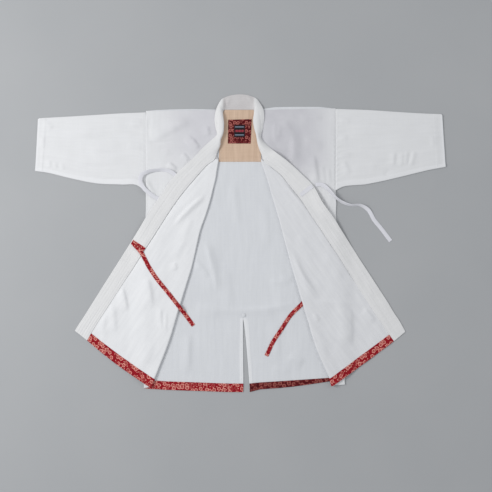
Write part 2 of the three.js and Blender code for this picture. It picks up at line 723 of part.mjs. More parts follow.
jacket.updateMatrixWorld(true);
const rootLeft = tieRoot("tie_root_left", TIE_ROOTS.tie_root_left, [band], COLOURS.red);
const rootRight = tieRoot("tie_root_right", TIE_ROOTS.tie_root_right, [band], COLOURS.outside);
jacket.add(rootLeft, rootRight);
jacket.updateMatrixWorld(true);
const underFlap = FLAP_UNDERSIDE - SEAM / 2;
jacket.add(tie("tie_red_left", TIES.tie_red_left, [back, frontLeft, band, rootLeft], COLOURS.red));
jacket.add(tie("tie_white_right", TIES.tie_white_right, [frontRight, sleeveRight], COLOURS.outside));
jacket.add(tie("tie_white_left", TIES.tie_white_left, [frontLeft, sleeveLeft], COLOURS.outside, underFlap));
jacket.add(tie("tie_red_right", TIES.tie_red_right, [back], COLOURS.red));

export default jacket;
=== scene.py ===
"""Looks of a kendo jacket that lies open on its back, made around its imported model.

Lengths are in millimetres in the tables and classes here, and a mesh takes them to metres when it is made.
+X runs to the right of the view, +Y towards the neck and +Z up from the floor. Left and right are as seen
from above.
"""

from __future__ import annotations

import logging
import math
from collections.abc import Sequence
from dataclasses import dataclass, field
from enum import Enum

import bpy
import numpy as np
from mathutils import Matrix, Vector
from mathutils.bvhtree import BVHTree


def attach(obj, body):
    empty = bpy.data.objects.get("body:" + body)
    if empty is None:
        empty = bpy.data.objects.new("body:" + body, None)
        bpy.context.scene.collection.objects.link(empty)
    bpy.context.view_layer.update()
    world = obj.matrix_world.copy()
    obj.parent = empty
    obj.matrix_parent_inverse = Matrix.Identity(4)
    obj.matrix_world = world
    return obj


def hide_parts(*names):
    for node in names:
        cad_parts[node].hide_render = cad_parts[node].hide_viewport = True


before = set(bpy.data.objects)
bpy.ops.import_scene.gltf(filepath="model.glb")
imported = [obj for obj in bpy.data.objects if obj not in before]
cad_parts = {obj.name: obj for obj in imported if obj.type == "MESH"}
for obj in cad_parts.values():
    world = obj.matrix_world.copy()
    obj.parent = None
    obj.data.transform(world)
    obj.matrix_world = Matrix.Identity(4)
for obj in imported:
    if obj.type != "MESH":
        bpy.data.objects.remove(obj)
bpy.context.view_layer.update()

LOG = logging.getLogger("jacket")
BODY = "root"
Array = np.ndarray
Object = bpy.types.Object
Material = bpy.types.Material
Tree = bpy.types.NodeTree
Node = bpy.types.Node
Socket = bpy.types.NodeSocket
Sockets = bpy.types.bpy_prop_collection
Colour = tuple[float, float, float, float]

# Driving sizes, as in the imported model
MM = 0.001
CLOTH = 1.5
BAND = 3.0
FACING = 1.0
TAPE_WIDTH = 12.0
TAPE = 1.2
TAPE_SLOPE = 0.4
SEAM = 0.3
ROOM = 2.1
PINCH = 22.0
DRAPE = 55.0
TURN_REACH = 45.0
HEM_TRIM = 26.0
BACK_LENGTH = 887.0

# Where the armhole starts and where the back's hem trim ends, up the body: from, to
ARMHOLE_START = (140, 165)
TRIM_END = (-390, -365)

# How high the threads of the weave stand, in metres
THREAD_RELIEF = 0.00012

# Heights of the middle of each layer of cloth
BACK_LEVEL = CLOTH / 2
FRONT_LEVEL = BACK_LEVEL + CLOTH + ROOM
SEWN_LEVEL = BACK_LEVEL + CLOTH + SEAM
FLAP_UNDERSIDE = FRONT_LEVEL + CLOTH / 2 + ROOM
ON_CLOTH = CLOTH / 2 + SEAM + FACING / 2


class Side(Enum):
    """The two sides of the jacket, as seen from above."""

    LEFT = "left"
    RIGHT = "right"

    @property
    def inward(self) -> int:
        """The sign of X towards the middle line."""
        return 1 if self is Side.LEFT else -1


class Slot(Enum):
    """The record's material slots."""

    OUTSIDE = "white_cotton"
    INSIDE = "white_inside"
    BAND = "white_band"
    TAPE = "white_tape"
    BEIGE = "beige_cotton"
    PRINT = "red_print"
    LABEL = "black_label"


class Table:
    """Rows of numbers with named columns."""

    def __init__(self, columns: str, rows: Sequence[Sequence[float]]) -> None:
        """Keep the rows under the columns' names, which are parted by spaces."""
        self.names = columns.split()
        self.rows = np.array(rows, dtype=float)

    def __getitem__(self, names: str) -> Array:
        """One column, or several side by side where more names are given."""
        picked = [self.rows[:, self.names.index(name)] for name in names.split()]
        return picked[0] if len(picked) == 1 else np.stack(picked, axis=1)


# A row for each station of a front from under the neck to the hem: the side of the body (outer), the line on
# which the front turns back (fold), the band's sewn and its free edge (seam and free), the middle radius of
# the turn, and how far the row bows towards the hem.
FRONT_COLUMNS = "outerX outerY foldX foldY seamX seamY freeX freeY turn bow"
FRONT_ROWS = {
    Side.LEFT: Table(FRONT_COLUMNS, [
        (-297, 222, -68, 262, -80, 265, -119, 299, 1.9, 0),
        (-297, 190, -73, 235, -104, 246, -142, 274, 1.9, 0),
        (-297, 163, -78, 202, -129, 219, -166, 251, 2.0, 0),
        (-297, 136, -86, 170, -155, 189, -193, 226, 2.0, 0),
        (-297, 108, -94, 137, -181, 158, -220, 195, 2.1, 0),
        (-298, 78, -108, 91, -214, 113, -256, 142, 2.2, 0),
        (-298, 36, -127, 36, -249, 59, -292, 89, 2.3, 0),
        (-299, -15, -138, -12, -277, 15, -321, 41, 2.4, 0),
        (-299, -68, -150, -65, -306, -29, -350, -5, 2.5, 0),
        (-300, -140, -172, -138, -338, -79, -381, -54, 2.6, 0),
        (-301, -214, -195, -213, -373, -132, -416, -109, 2.8, 0),
        (-302, -308, -223, -306, -415, -197, -457, -174, 3.0, 0),
        (-303, -392, -255, -390, -455, -259, -496, -236, 3.2, 3),
        (-303, -429, -269, -426, -470, -284, -512, -260, 3.3, 4),
        (-303, -455, -280, -453, -482, -306, -521, -275, 3.3, 6),
    ]),
    Side.RIGHT: Table(FRONT_COLUMNS, [
        (299, 222, 64, 262, 74, 257, 112, 284, 1.9, 0),
        (299, 192, 71, 240, 100, 237, 138, 265, 2.0, 0),
        (299, 166, 79, 217, 129, 213, 164, 244, 2.1, 0),
        (300, 146, 88, 188, 157, 178, 196, 214, 2.2, 0),
        (301, 124, 98, 152, 185, 144, 227, 183, 2.3, 0),
        (300, 95, 112, 106, 219, 93, 257, 128, 2.4, 0),
        (302, 60, 126, 57, 248, 50, 291, 83, 2.5, 0),
        (304, 10, 138, 10, 277, 6, 320, 37, 2.7, 0),
        (306, -42, 152, -40, 306, -37, 349, -8, 2.9, 0),
        (308, -90, 164, -84, 334, -81, 377, -52, 3.1, 0),
        (311, -145, 180, -138, 364, -129, 407, -98, 3.3, 0),
        (313, -195, 195, -189, 392, -173, 435, -141, 3.5, 0),
        (317, -260, 215, -255, 422, -219, 464, -186, 3.8, 0),
        (321, -325, 234, -319, 448, -258, 489, -227, 4.1, 0),
        (325, -388, 262, -386, 454, -268, 496, -237, 4.3, 0),
        (327, -424, 279, -424, 468.5, -288, 508.5, -258, 4.3, 1),
        (328, -444, 286, -448, 483, -308, 519, -278, 4.3, 2),
    ]),
}

# A row for each station of the band from the middle of the back neck down to the first row above, where it
# stands and rolls over towards the shoulder. reach is how far the roll leans in over the neck and rise how
# high it pulls.
NECK_COLUMNS = "seamX seamY seamZ freeX freeY freeZ reach rise"
NECK_ROWS = {
    Side.LEFT: Table(NECK_COLUMNS, [
        (-22, 420, 1.5, -22, 467, 1.5, 0, 0.6),
        (-40, 420, 1.5, -44, 461, 1.5, 0, 1.5),
        (-49, 420, 2.6, -59, 453, 1.8, 0, 6),
        (-53.5, 418, 5.2, -69, 438, 3.4, 3, 10),
        (-58, 410, 5.4, -76, 420, 5.8, 7, 13),
        (-65, 392, 5.2, -81, 394, 7.4, 13, 15),
        (-67, 364, 5.2, -78, 363, 7.0, 14, 16),
        (-69, 335, 5.2, -74, 342, 7.0, 11, 17),
        (-71, 306, 5.2, -92, 324, 7.2, 12, 12),
        (-74, 284, 5.6, -106, 311, 7.8, 7, 7),
    ]),
    Side.RIGHT: Table(NECK_COLUMNS, [
        (10, 420, 1.5, 12, 468, 1.5, 0, 0.6),
        (30, 420, 1.5, 34, 463, 1.5, 0, 1.5),
        (40, 420, 2.6, 51, 455, 1.8, 0, 6),
        (45.5, 418, 5.2, 63, 439, 3.4, 8, 10),
        (51, 410, 5.4, 72, 422, 5.8, 13, 11),
        (57, 392, 5.2, 75, 397, 7.8, 17.5, 13),
        (58, 362, 5.2, 71, 362, 7.0, 14, 15),
        (60, 332, 5.2, 65, 331, 7.0, 8, 18),
        (63, 302, 5.2, 83, 309, 7.2, 9, 14),
        (67, 279, 6.2, 98, 296, 7.8, 6, 8),
    ]),
}

# The front's far edge down the armhole, a row for the shoulder and for each neck row that it meets.
SHOULDER_COLUMNS = "innerX innerY outerX outerY"
SHOULDER_ROWS = {
    Side.LEFT: Table(SHOULDER_COLUMNS, [
        (-59, 418.5, -297, 416), (-58, 410, -297, 404), (-65, 392, -297, 385), (-67, 364, -297, 352),
        (-69, 335, -297, 316), (-71, 306, -297, 282), (-74, 284, -297, 252),
    ]),
    Side.RIGHT: Table(SHOULDER_COLUMNS, [
        (53, 418.5, 299, 424), (51, 410, 299, 412), (57, 392, 299, 393), (58, 362, 299, 358),
        (60, 332, 299, 322), (63, 302, 299, 286), (67, 279, 299, 254),
    ]),
}

# The back's top and bottom edges and the height of its hem trim, a row for each column of its cloth. The vent
# splits the one numbered in Back.
BACK_EDGES = Table("topX topY hemX hemY trim", [
    (-297, 416, -303, -456, 26), (-265, 419, -284, -458, 26), (-215, 421, -235, -461, 26),
    (-160, 422, -180, -463, 26), (-110, 421.5, -120, -465, 26), (-62, 420, -70, -467, 26),
    (-51, 419.6, -34, -468, 26), (9.5, 419.6, 9.5, -468, 26), (43, 419.6, 44, -464, 24),
    (56, 420, 62, -459.5, 21), (108, 428, 125, -455, 20.5), (150, 429, 165, -451, 19.2),
    (200, 429, 203, -446, 16.7), (247, 429, 270, -436, 11.3), (285, 425, 300, -431, 10),
    (299, 421, 327, -429, 10),
])

# Each sleeve from the armhole to the cuff: its folded top edge and its sewn underside.
SLEEVE_COLUMNS = "topX topY underX underY"
SLEEVE_ROWS = {
    Side.LEFT: Table(SLEEVE_COLUMNS, [
        (-297.8, 412, -297.8, 163), (-326, 411, -323, 181), (-375, 409, -372, 184), (-440, 405, -445, 187),
        (-520, 400, -530, 203), (-590, 396, -604, 221), (-636, 393, -645, 227),
    ]),
    Side.RIGHT: Table(SLEEVE_COLUMNS, [
        (299.8, 423, 299.8, 166), (328, 422, 322, 177), (388, 420, 394, 185), (442, 417, 446, 195),
        (500, 413, 506, 209), (588, 408, 598, 231), (634, 406, 645, 240),
    ]),
}

# The creases of each panel, each along a bent line: width is its half width, height how far it stands up, or
# sinks where it is below nought, and lean how much steeper its side on the left of the line is.
CREASE_COLUMNS = "fromX fromY bendX bendY toX toY width height lean"
CREASES = {
    "back": Table(CREASE_COLUMNS, [
        (-114, 14, -88, -76, -74, -164, 20, 7.4, 1.1), (-118, 6, -94, -78, -80, -160, 8, -3.6, 1.6),
        (-136, -56, -117, -82, -98, -108, 9, 3.2, 1.5), (-150, -20, -136, -60, -128, -96, 11, 2.2, 1.3),
        (-168, -188, 8, -236, 197, -179, 10, 3.4, 1.8), (-150, -205, -100, -216, -60, -222, 22, 2.1, 1.0),
        (60, -216, 105, -202, 150, -186, 22, 2.3, 1.0), (98, -5, 140, -200, 225, -415, 42, 3.6, 0.7),
        (-163, -273, -165, -352, -162, -424, 13, 4.4, 1.5), (88, -118, 122, -121, 158, -122, 8, 1.9, 1.4),
        (122, -103, 147, -109, 169, -113, 7, 2.4, 1.5), (150, -350, 176, -364, 204, -376, 15, 3.6, 1.5),
        (-26, 199, -14, 120, -8, 42, 14, 2.0, 1.0), (68, 136, 81, 57, 87, -21, 13, 2.0, 1.0),
        (-60, -60, -30, -150, -34, -230, 18, 1.8, 1.3), (110, -240, 118, -300, 112, -370, 14, 2.2, 1.3),
        (96, -390, 124, -402, 160, -404, 12, 2.4, 1.3),
    ]),
    "left_flap": Table(CREASE_COLUMNS, [
        (-108, 151, -158, 118, -214, 50, 15, 6.2, 1.6), (-115, 155, -168, 124, -219, 54, 7, -3.2, 1.4),
        (-376, -134, -362, -170, -356, -220, 10, 5.2, 1.8),
        (-296, -104, -282, -142, -279, -208, 13, 4.8, 1.5),
        (-250, -196, -253, -238, -244, -278, 8, 3.6, 1.5),
        (-232, -210, -237, -248, -232, -286, 7, 2.4, 1.4), (-209, -59, -206, -72, -200, -84, 9, 3.2, 1.4),
        (-348, -21, -354, -59, -386, -103, 13, 2.6, 1.3), (-175, 23, -190, -21, -215, -59, 16, 2.8, 1.2),
        (-273, -300, -286, -344, -302, -384, 15, 2.8, 1.2),
        (-402, -188, -399, -236, -394, -288, 11, 3.2, 1.3),
        (-426, -222, -431, -260, -437, -294, 11, 2.4, 1.2), (-150, 84, -168, 40, -186, 6, 13, 2.4, 1.3),
    ]),
    "right_flap": Table(CREASE_COLUMNS, [
        (144, -15, 191, -103, 248, -182, 15, 6.6, 1.5), (122, 199, 181, 139, 241, 83, 12, 3.8, 1.4),
        (132, 178, 186, 122, 236, 70, 8, -2.0, 1.2), (322, -186, 330, -258, 331, -327, 20, 4.4, 1.2),
        (344, -196, 350, -258, 346, -330, 10, 2.6, 1.5), (386, -206, 404, -224, 426, -248, 11, 3.6, 1.4),
        (229, -220, 238, -232, 248, -245, 8, 2.3, 1.4), (219, -180, 290, -184, 366, -192, 9, 2.2, 1.5),
        (226, -273, 250, -321, 262, -374, 18, 2.2, 1.2), (178, 30, 206, -20, 232, -50, 16, 2.2, 1.2),
        (262, -30, 290, -76, 322, -118, 14, 2.0, 1.3),
    ]),
    "left_outer": Table(CREASE_COLUMNS, [
        (-148, 396, -224, 350, -284, 322, 20, 5.4, 1.3), (-146, 386, -240, 330, -285, 306, 11, -1.7, 1.2),
        (-151, 330, -141, 314, -128, 298, 7, 4.2, 1.8), (-183, 284, -172, 272, -160, 260, 7, 4.0, 1.8),
        (-228, 254, -214, 243, -198, 230, 8, 5.4, 1.8), (-216, 236, -204, 226, -192, 214, 7, -1.7, 1.2),
        (-105, 372, -102, 354, -99, 334, 8, 3.6, 1.5), (-234, 300, -231, 288, -228, 272, 12, 1.4, 1.3),
        (-172, 312, -160, 324, -150, 335, 15, 3.0, 1.2), (-230, 356, -196, 376, -158, 388, 14, 2.2, 1.3),
        (-288, 412, -288, 364, -287, 316, 3.4, -1.6, 1.0),
        (-281, 406, -281, 384, -280, 362, 3.0, -1.2, 1.0),
        (-292, 316, -256, 314, -206, 322, 3.4, -1.6, 1.0), (-296, 208, -294, 176, -262, 150, 9, 3.4, 1.4),
        (-262, 226, -244, 232, -226, 236, 6, -1.5, 1.0),
    ]),
    "right_outer": Table(CREASE_COLUMNS, [
        (130, 390, 158, 352, 172, 318, 18, 3.6, 1.2), (168, 342, 166, 294, 160, 248, 13, 6.6, 0.62),
        (226, 286, 236, 231, 243, 181, 11, 5.4, 1.4), (95, 350, 118, 294, 150, 248, 12, -1.8, 1.0),
        (176, 250, 197, 216, 226, 196, 12, -1.8, 1.0), (262, 396, 226, 399, 190, 396, 16, 3.0, 1.4),
        (163, 413, 178, 404, 194, 395, 8, -1.5, 1.2), (276, 240, 279, 212, 282, 183, 6, 2.2, 1.4),
        (112, 384, 104, 350, 112, 312, 9, 3.2, 0.7), (126, 376, 118, 352, 122, 330, 7, 2.0, 0.7),
        (146, 300, 142, 274, 138, 250, 14, -1.8, 1.0), (226, 190, 250, 142, 272, 98, 11, -1.9, 1.0),
        (210, 228, 214, 212, 222, 196, 10, -1.8, 1.0), (255, 250, 262, 214, 264, 184, 8, 2.4, 1.3),
        (196, 330, 232, 316, 262, 296, 16, 2.2, 1.3),
    ]),
    "left_sleeve": Table(CREASE_COLUMNS, [
        (-330, 362, -442, 357, -568, 336, 22, 2.6, 1.4), (-348, 262, -442, 256, -537, 253, 17, 2.2, 1.4),
        (-601, 264, -598, 248, -596, 236, 6, 2.0, 1.5), (-582, 258, -580, 244, -578, 232, 6, 1.6, 1.4),
        (-560, 254, -558, 240, -556, 228, 6, 1.4, 1.4), (-622, 338, -626, 318, -624, 298, 7, 1.8, 0.7),
        (-439, 204, -386, 201, -336, 201, 8, -1.2, 1.3), (-379, 325, -427, 294, -490, 287, 22, 1.9, 1.3),
        (-304, 380, -322, 372, -352, 372, 12, 1.6, 1.3), (-304, 300, -330, 306, -360, 302, 12, 1.4, 1.3),
        (-614, 382, -602, 370, -588, 362, 9, 1.8, 1.3),
    ]),
    "right_sleeve": Table(CREASE_COLUMNS, [
        (484, 290, 482, 264, 480, 240, 8, 3.0, 1.5), (508, 292, 508, 264, 505, 238, 7, 2.6, 1.5),
        (546, 292, 540, 266, 532, 236, 6, 3.2, 0.7), (524, 296, 523, 270, 519, 242, 7, 2.6, 1.5),
        (329, 357, 455, 366, 581, 350, 20, 1.8, 1.3), (322, 262, 332, 240, 345, 214, 10, 2.9, 1.5),
        (345, 236, 392, 246, 440, 240, 16, 2.0, 1.3), (306, 392, 324, 386, 348, 388, 8, 2.0, 1.3),
        (306, 330, 324, 336, 340, 334, 8, 1.7, 1.3), (306, 276, 326, 274, 350, 280, 7, 1.8, 1.3),
        (600, 340, 606, 322, 604, 300, 8, 1.8, 0.7), (452, 212, 462, 224, 474, 234, 7, -1.6, 1.0),
    ]),
    "band": Table(CREASE_COLUMNS, [
        (-50, 464, -48, 446, -44, 424, 2.6, -1.6, 1.0), (40, 464, 40, 446, 36, 424, 2.6, -1.6, 1.0),
        (20, 462, 28, 456, 38, 444, 4, 1.8, 1.0), (8, 458, 20, 450, 30, 436, 5, 1.2, 1.0),
        (-30, 460, -38, 450, -40, 434, 4, 1.6, 1.0), (-14, 448, 0, 443, 14, 446, 7, 0.8, 1.0),
        (58, 418, 66, 384, 64, 344, 3.2, -1.4, 1.0), (68, 412, 73, 384, 70, 350, 3.2, -1.2, 1.0),
        (-66, 416, -72, 386, -70, 352, 3.4, -1.2, 1.0), (-160, 226, -176, 206, -196, 190, 6, 1.0, 1.3),
        (108, 262, 134, 238, 158, 220, 7, 1.2, 1.3), (392, -118, 408, -146, 418, -170, 6, 1.0, 1.3),
    ]),
}

# The fine ripples of each panel: which way they run in radians, their length, their width and their height.
RIPPLE_COLUMNS = "heading length width height"
RIPPLES = {
    "back": Table(RIPPLE_COLUMNS, [(1.57, 110, 9, 0.30), (1.35, 60, 30, 0.70), (1.75, 34, 13, 0.22)]),
    "left_flap": Table(RIPPLE_COLUMNS, [(1.28, 90, 17, 0.55), (0.95, 60, 34, 0.90), (1.6, 26, 12, 0.22)]),
    "right_flap": Table(RIPPLE_COLUMNS, [(1.87, 100, 18, 0.50), (2.2, 60, 36, 0.80), (1.5, 26, 12, 0.20)]),
    "left_outer": Table(RIPPLE_COLUMNS, [(2.4, 46, 20, 0.60), (0.8, 80, 36, 0.90), (0.1, 24, 12, 0.25)]),
    "right_outer": Table(RIPPLE_COLUMNS, [(1.75, 60, 18, 0.75), (0.4, 60, 32, 0.90), (1.2, 26, 12, 0.30)]),
    "left_sleeve": Table(RIPPLE_COLUMNS, [(0.05, 80, 20, 0.35), (1.4, 60, 36, 0.60), (0.8, 26, 13, 0.16)]),
    "right_sleeve": Table(RIPPLE_COLUMNS, [(-0.05, 70, 18, 0.45), (1.6, 56, 32, 0.70), (2.3, 26, 12, 0.20)]),
    "band": Table(RIPPLE_COLUMNS, [(0.9, 40, 22, 0.56)]),
}

# The ties, a row for each bend: turn is the tape's tilt in degrees about its own length.
TIES = {
    "tie_red_left": Table("x y turn", [
        (-339, 2, 0), (-312, -28, 0), (-287, -74, 0), (-264, -109, 0), (-227, -155, 0), (-194, -197, 0),
        (-148, -259, 0),
    ]),
    "tie_white_right": Table("x y turn", [
        (236, 184, 0), (255, 184, 10), (279, 166, 45), (299, 144, 60), (323, 128, 50), (348, 120, 60),
        (379, 119, 50), (400, 107, 20), (422, 72, 0), (441, 49, 0), (473, 7, 0),
    ]),
    "tie_white_left": Table("x y turn", [
        (-228, 122, 0), (-261, 141, 0), (-286, 157, 0), (-306, 178, 0), (-314, 198, 5), (-309, 214, 15),
        (-291, 224, 35), (-263, 229, 50), (-241, 230, 40), (-219, 225, 15), (-199, 209, 0), (-174, 180, 0),
        (-150, 156, 0),
    ]),
    "tie_red_right": Table("x y turn", [
        (276, -56, 0), (254, -98, 0), (226, -146, 0), (195, -189, 0), (160, -224, 0), (128, -272, 0),
        (104, -308, 0), (82, -354, 0),
    ]),
}


def smooth(low: float, high: float, value: Array | float) -> Array:
    """Rise smoothly from 0 to 1.

    Args:
        low: Where the rise starts.
        high: Where it ends.
        value: Where to read it.

    Returns:
        The share at each value.
    """
    t = np.clip((value - low) / (high - low), 0, 1)
    return t * t * (3 - 2 * t)


def lerp(start: Array | float, end: Array | float, share: Array | float) -> Array:
    """The value a share of the way from start to end."""
    return start + (end - start) * share


def way_along(line: Array) -> Array:
    """How far along a line of points each of them is."""
    return np.concatenate([[0], np.cumsum(np.linalg.norm(np.diff(line, axis=0), axis=1))])


def unit(rows: Array) -> Array:
    """Directions, each brought to a length of one."""
    return rows / np.maximum(np.linalg.norm(rows, axis=-1, keepdims=True), 1e-12)


def leftward(ahead: Array) -> Array:
    """Directions on the floor, each turned a quarter round to the left."""
    return np.stack([-ahead[..., 1], ahead[..., 0]], axis=-1)


def grid(across: Array, along: Array) -> Array:
    """The points of a flat grid, from where its columns and its rows lie."""
    return np.dstack(np.broadcast_arrays(across[None, :], along[:, None]))


def below(tree: BVHTree, x: float, y: float, height: float = 100) -> float:
    """The height at which a piece is met straight below a point, or not a number."""
    hit = tree.ray_cast(Vector((x, y, height)), Vector((0, 0, -1)))[0]
    return math.nan if hit is None else hit.z


def put(name: str, data: bpy.types.ID) -> Object:
    """Put a mesh, a light or a camera into the scene.

    Args:
        name: The new object's name.
        data: What it shows.

    Returns:
        The object.
    """
    thing = bpy.data.objects.new(name, data)
    bpy.context.scene.collection.objects.link(thing)
    return thing


def spaced(line: Array, step: float) -> tuple[Array, Array]:
    """Spread stations along a line so that each of its own points is one of them.

    Args:
        line: The line's points.
        step: The longest way between two stations.

    Returns:
        The place of each point along the line, and the places of all stations.
    """
    places = way_along(line)
    stations = [places[:1]]
    for start, end in zip(places, places[1:]):
        count = max(1, math.ceil((end - start) / step))
        stations.append(np.linspace(start, end, count + 1)[1:])
    return places, np.concatenate(stations)


def through(values: Array, places: Array, stations: Array) -> Array:
    """Read a smooth curve through known values.

    Args:
        values: A value or a row of them at each place.
        places: Where they are known.
        stations: Where to read.

    Returns:
        The values at the stations.
    """
    rows = values if values.ndim == 2 else values[:, None]
    slopes = np.gradient(rows, places, axis=0)
    i = np.clip(np.searchsorted(places, stations, side="right") - 1, 0, len(places) - 2)
    width = (places[i + 1] - places[i])[:, None]
    t = (stations - places[i])[:, None] / width
    rise = t * t * (3 - 2 * t)
    bends = t * (1 - t) ** 2 * width * slopes[i] - t * t * (1 - t) * width * slopes[i + 1]
    curve = lerp(rows[i], rows[i + 1], rise) + bends
    return curve if values.ndim == 2 else curve[:, 0]


def straight(values: Array, places: Array, stations: Array) -> Array:
    """Read straight lines between known rows of values, as through does for a curve."""
    return np.stack([np.interp(stations, places, column) for column in values.T], axis=1)


def grid_normals(points: Array) -> Array:
    """The direction out of a grid of points at each of them, turned upwards."""
    normals = unit(np.cross(np.gradient(points, axis=1), np.gradient(points, axis=0)))
    return normals * np.where(normals[..., 2:] < 0, -1, 1)


def side_reach(side: Side, y: Array) -> Array:
    """How far the side of the body is from the middle line at each height y."""
    rows = FRONT_ROWS[side]
    return np.interp(y, rows["outerY"][::-1], np.abs(rows["outerX"])[::-1])


def wander(x: Array, y: Array, seed: int, ripple: Sequence[float]) -> Array:
    """Soft uneven ripples, longer one way than the other.

    Args:
        x: Where, across.
        y: Where, up the body.
        seed: Makes one set of ripples differ from the next.
        ripple: Their heading in radians, length, width and height.

    Returns:
        A height about nought.
    """
    heading, length, width, height = ripple
    count = 64
    knots = np.random.default_rng(seed).uniform(-1, 1, (count, count))
    way = ((x * math.cos(heading) + y * math.sin(heading)) / length,
           (y * math.cos(heading) - x * math.sin(heading)) / width)
    cells = [np.floor(part).astype(int) for part in way]
    weights = []
    for part, cell in zip(way, cells):
        t = part - cell
        weights.append(((1 - t) ** 3, 3 * t ** 3 - 6 * t * t + 4, 1 + 3 * t * (1 + t - t * t), t ** 3))
    total = sum(
        a * b * knots[(cells[0] + i) % count, (cells[1] + j) % count]
        for i, a in enumerate(weights[0]) for j, b in enumerate(weights[1]))
    return height * total / 36


def relief(panel: str, x: Array, y: Array) -> Array:
    """How far a panel's creases and ripples raise or sink it.

    Args:
        panel: The panel's name among the creases.
        x: Where, across.
        y: Where, up the body.

    Returns:
        The height at each point.
    """
    height = np.zeros_like(x)
    steps = np.linspace(0, 1, 11)
    for row in CREASES[panel].rows:
        start, bend, end = row[0:2], row[2:4], row[4:6]
        width, rise, lean = row[6:9]
        line = [(1 - t) ** 2 * start + 2 * t * (1 - t) * bend + t * t * end for t in steps]
        nearest = np.full_like(x, np.inf)
        place = np.zeros_like(x)
        turned = np.zeros_like(x)
        for i, (a, b) in enumerate(zip(line, line[1:])):
            ahead = b - a
            t = np.clip(((x - a[0]) * ahead[0] + (y - a[1]) * ahead[1]) / (ahead @ ahead), 0, 1)
            away = np.hypot(x - a[0] - t * ahead[0], y - a[1] - t * ahead[1])
            closer = away < nearest
            nearest = np.where(closer, away, nearest)
            place = np.where(closer, (i + t) / (len(line) - 1), place)
            turned = np.where(closer, ahead[0] * (y - a[1]) - ahead[1] * (x - a[0]), turned)
        reach = np.where(turned > 0, width / lean, width * lean)
        ends = smooth(0, 0.3, place) * smooth(0, 0.3, 1 - place)
        height += rise * ends * np.exp(-((nearest / reach) ** 2))
    first_seed = 10 * list(RIPPLES).index(panel)
    return height + sum(wander(x, y, first_seed + i, row) for i, row in enumerate(RIPPLES[panel].rows))


def unevenness(x: Array, y: Array, turn: float) -> Array:
    """Slow waves of an ironed cloth that has lain folded.

    Args:
        x: Where, across.
        y: Where, up the body.
        turn: Turns the waves, so that panels differ.

    Returns:
        A height between nought and one.
    """
    waves = ((151, 0.4, 0.0), (97, 1.7, 1.1), (68, 2.6, 2.3), (47, 0.9, 4.0))
    total = np.zeros_like(x)
    for length, heading, start in waves:
        way = x * math.cos(heading + turn) + y * math.sin(heading + turn)
        total += np.sin(2 * math.pi * way / length + start + turn)
    return 0.5 + total / (2 * len(waves))


def seam_pucker(side: Side, y: Array, away: Array) -> Array:
    """The short ticks that an armhole's seam pulls into the cloth.

    Args:
        side: Which armhole.
        y: Where, up the body.
        away: How far from the seam.

    Returns:
        A height, larger on the right, where the seam pulls more.
    """
    pull = 2.8 if side is Side.RIGHT else 1.1
    away = np.maximum(away, 0)
    uneven = 0.65 + 0.35 * np.sin(y / 37 + 1)
    wave = 0.5 + 0.5 * np.sin((y - 0.4 * away) / 2.6 + 1.3 * np.sin(y / 29))
    return pull * uneven * wave * smooth(0, 4, away) * np.exp(-away / 10)


def seam_dip(from_hole: Array) -> Array:
    """How far the cloth sinks towards an armhole's seam."""
    return 0.7 * (1 - smooth(0, 5, from_hole))


def lower_level(side: Side, x: Array, y: Array) -> Array:
    """The middle height of a front's lower layer, which meets the back at its shoulder and side seams.

    Args:
        side: Which front.
        x: Where, across.
        y: Where, up the body.

    Returns:
        The height at each point, creases among it.
    """
    start_x, start_y, end_x, end_y = SHOULDER_ROWS[side].rows[0]
    from_shoulder = lerp(start_y, end_y, (x - start_x) / (end_x - start_x)) - y
    beside_hole = smooth(*ARMHOLE_START, y)
    from_hole = side_reach(side, y) - np.abs(x)
    from_seams = np.minimum(from_shoulder, from_hole + PINCH * beside_hole)
    sewn = SEWN_LEVEL + (FACING + SEAM) * (1 - smooth(*TRIM_END, y))
    level = lerp(sewn, FRONT_LEVEL, smooth(0, PINCH, from_seams))
    free = smooth(0, 2 * PINCH, np.minimum(from_shoulder, 40.0))
    lift = relief(f"{side.value}_outer", x, y) + 0.8 * unevenness(x, y, 0.4 * side.inward)
    seam = seam_dip(from_hole) - seam_pucker(side, y, from_hole)
    return np.maximum(level + free * lift - seam * beside_hole, SEWN_LEVEL - 0.1)


def flap_underside(side: Side, x: Array, y: Array) -> Array:
    """The underside of what is turned back: on the body inside the side seam, and on the floor past it."""
    return FLAP_UNDERSIDE * (1 - smooth(-5, DRAPE, np.abs(x) - side_reach(side, y)))


@dataclass
class Patch:
    """A grid of middle points of a cloth.

    Attributes:
        points: Rows and columns of points, in millimetres.
        cut: Where each lies in the cut cloth, in millimetres.
        thickness: One thickness, or one for each point.
        doubled: How far each point is of doubled cloth, which shows lighter, from nought to one.
    """

    points: Array
    cut: Array
    thickness: Array | float = CLOTH
    doubled: Array | float = 0.0

    def thicknesses(self) -> Array:
        """The thickness at each point."""
        return np.broadcast_to(self.thickness, self.points.shape[:2])

    def over(self, lift: float = 0.05) -> Array:
        """The points of its upper face, a little above the cloth."""
        raised = self.thicknesses()[..., None] / 2 + lift
        return self.points + grid_normals(self.points) * raised

    def ring(self) -> Array:
        """A line round its upper face, one point in from its edge."""
        over = self.over()
        return np.concatenate([over[1, 1:-1], over[2:-1, -2], over[-2, -2:0:-1], over[-3:0:-1, 1]])


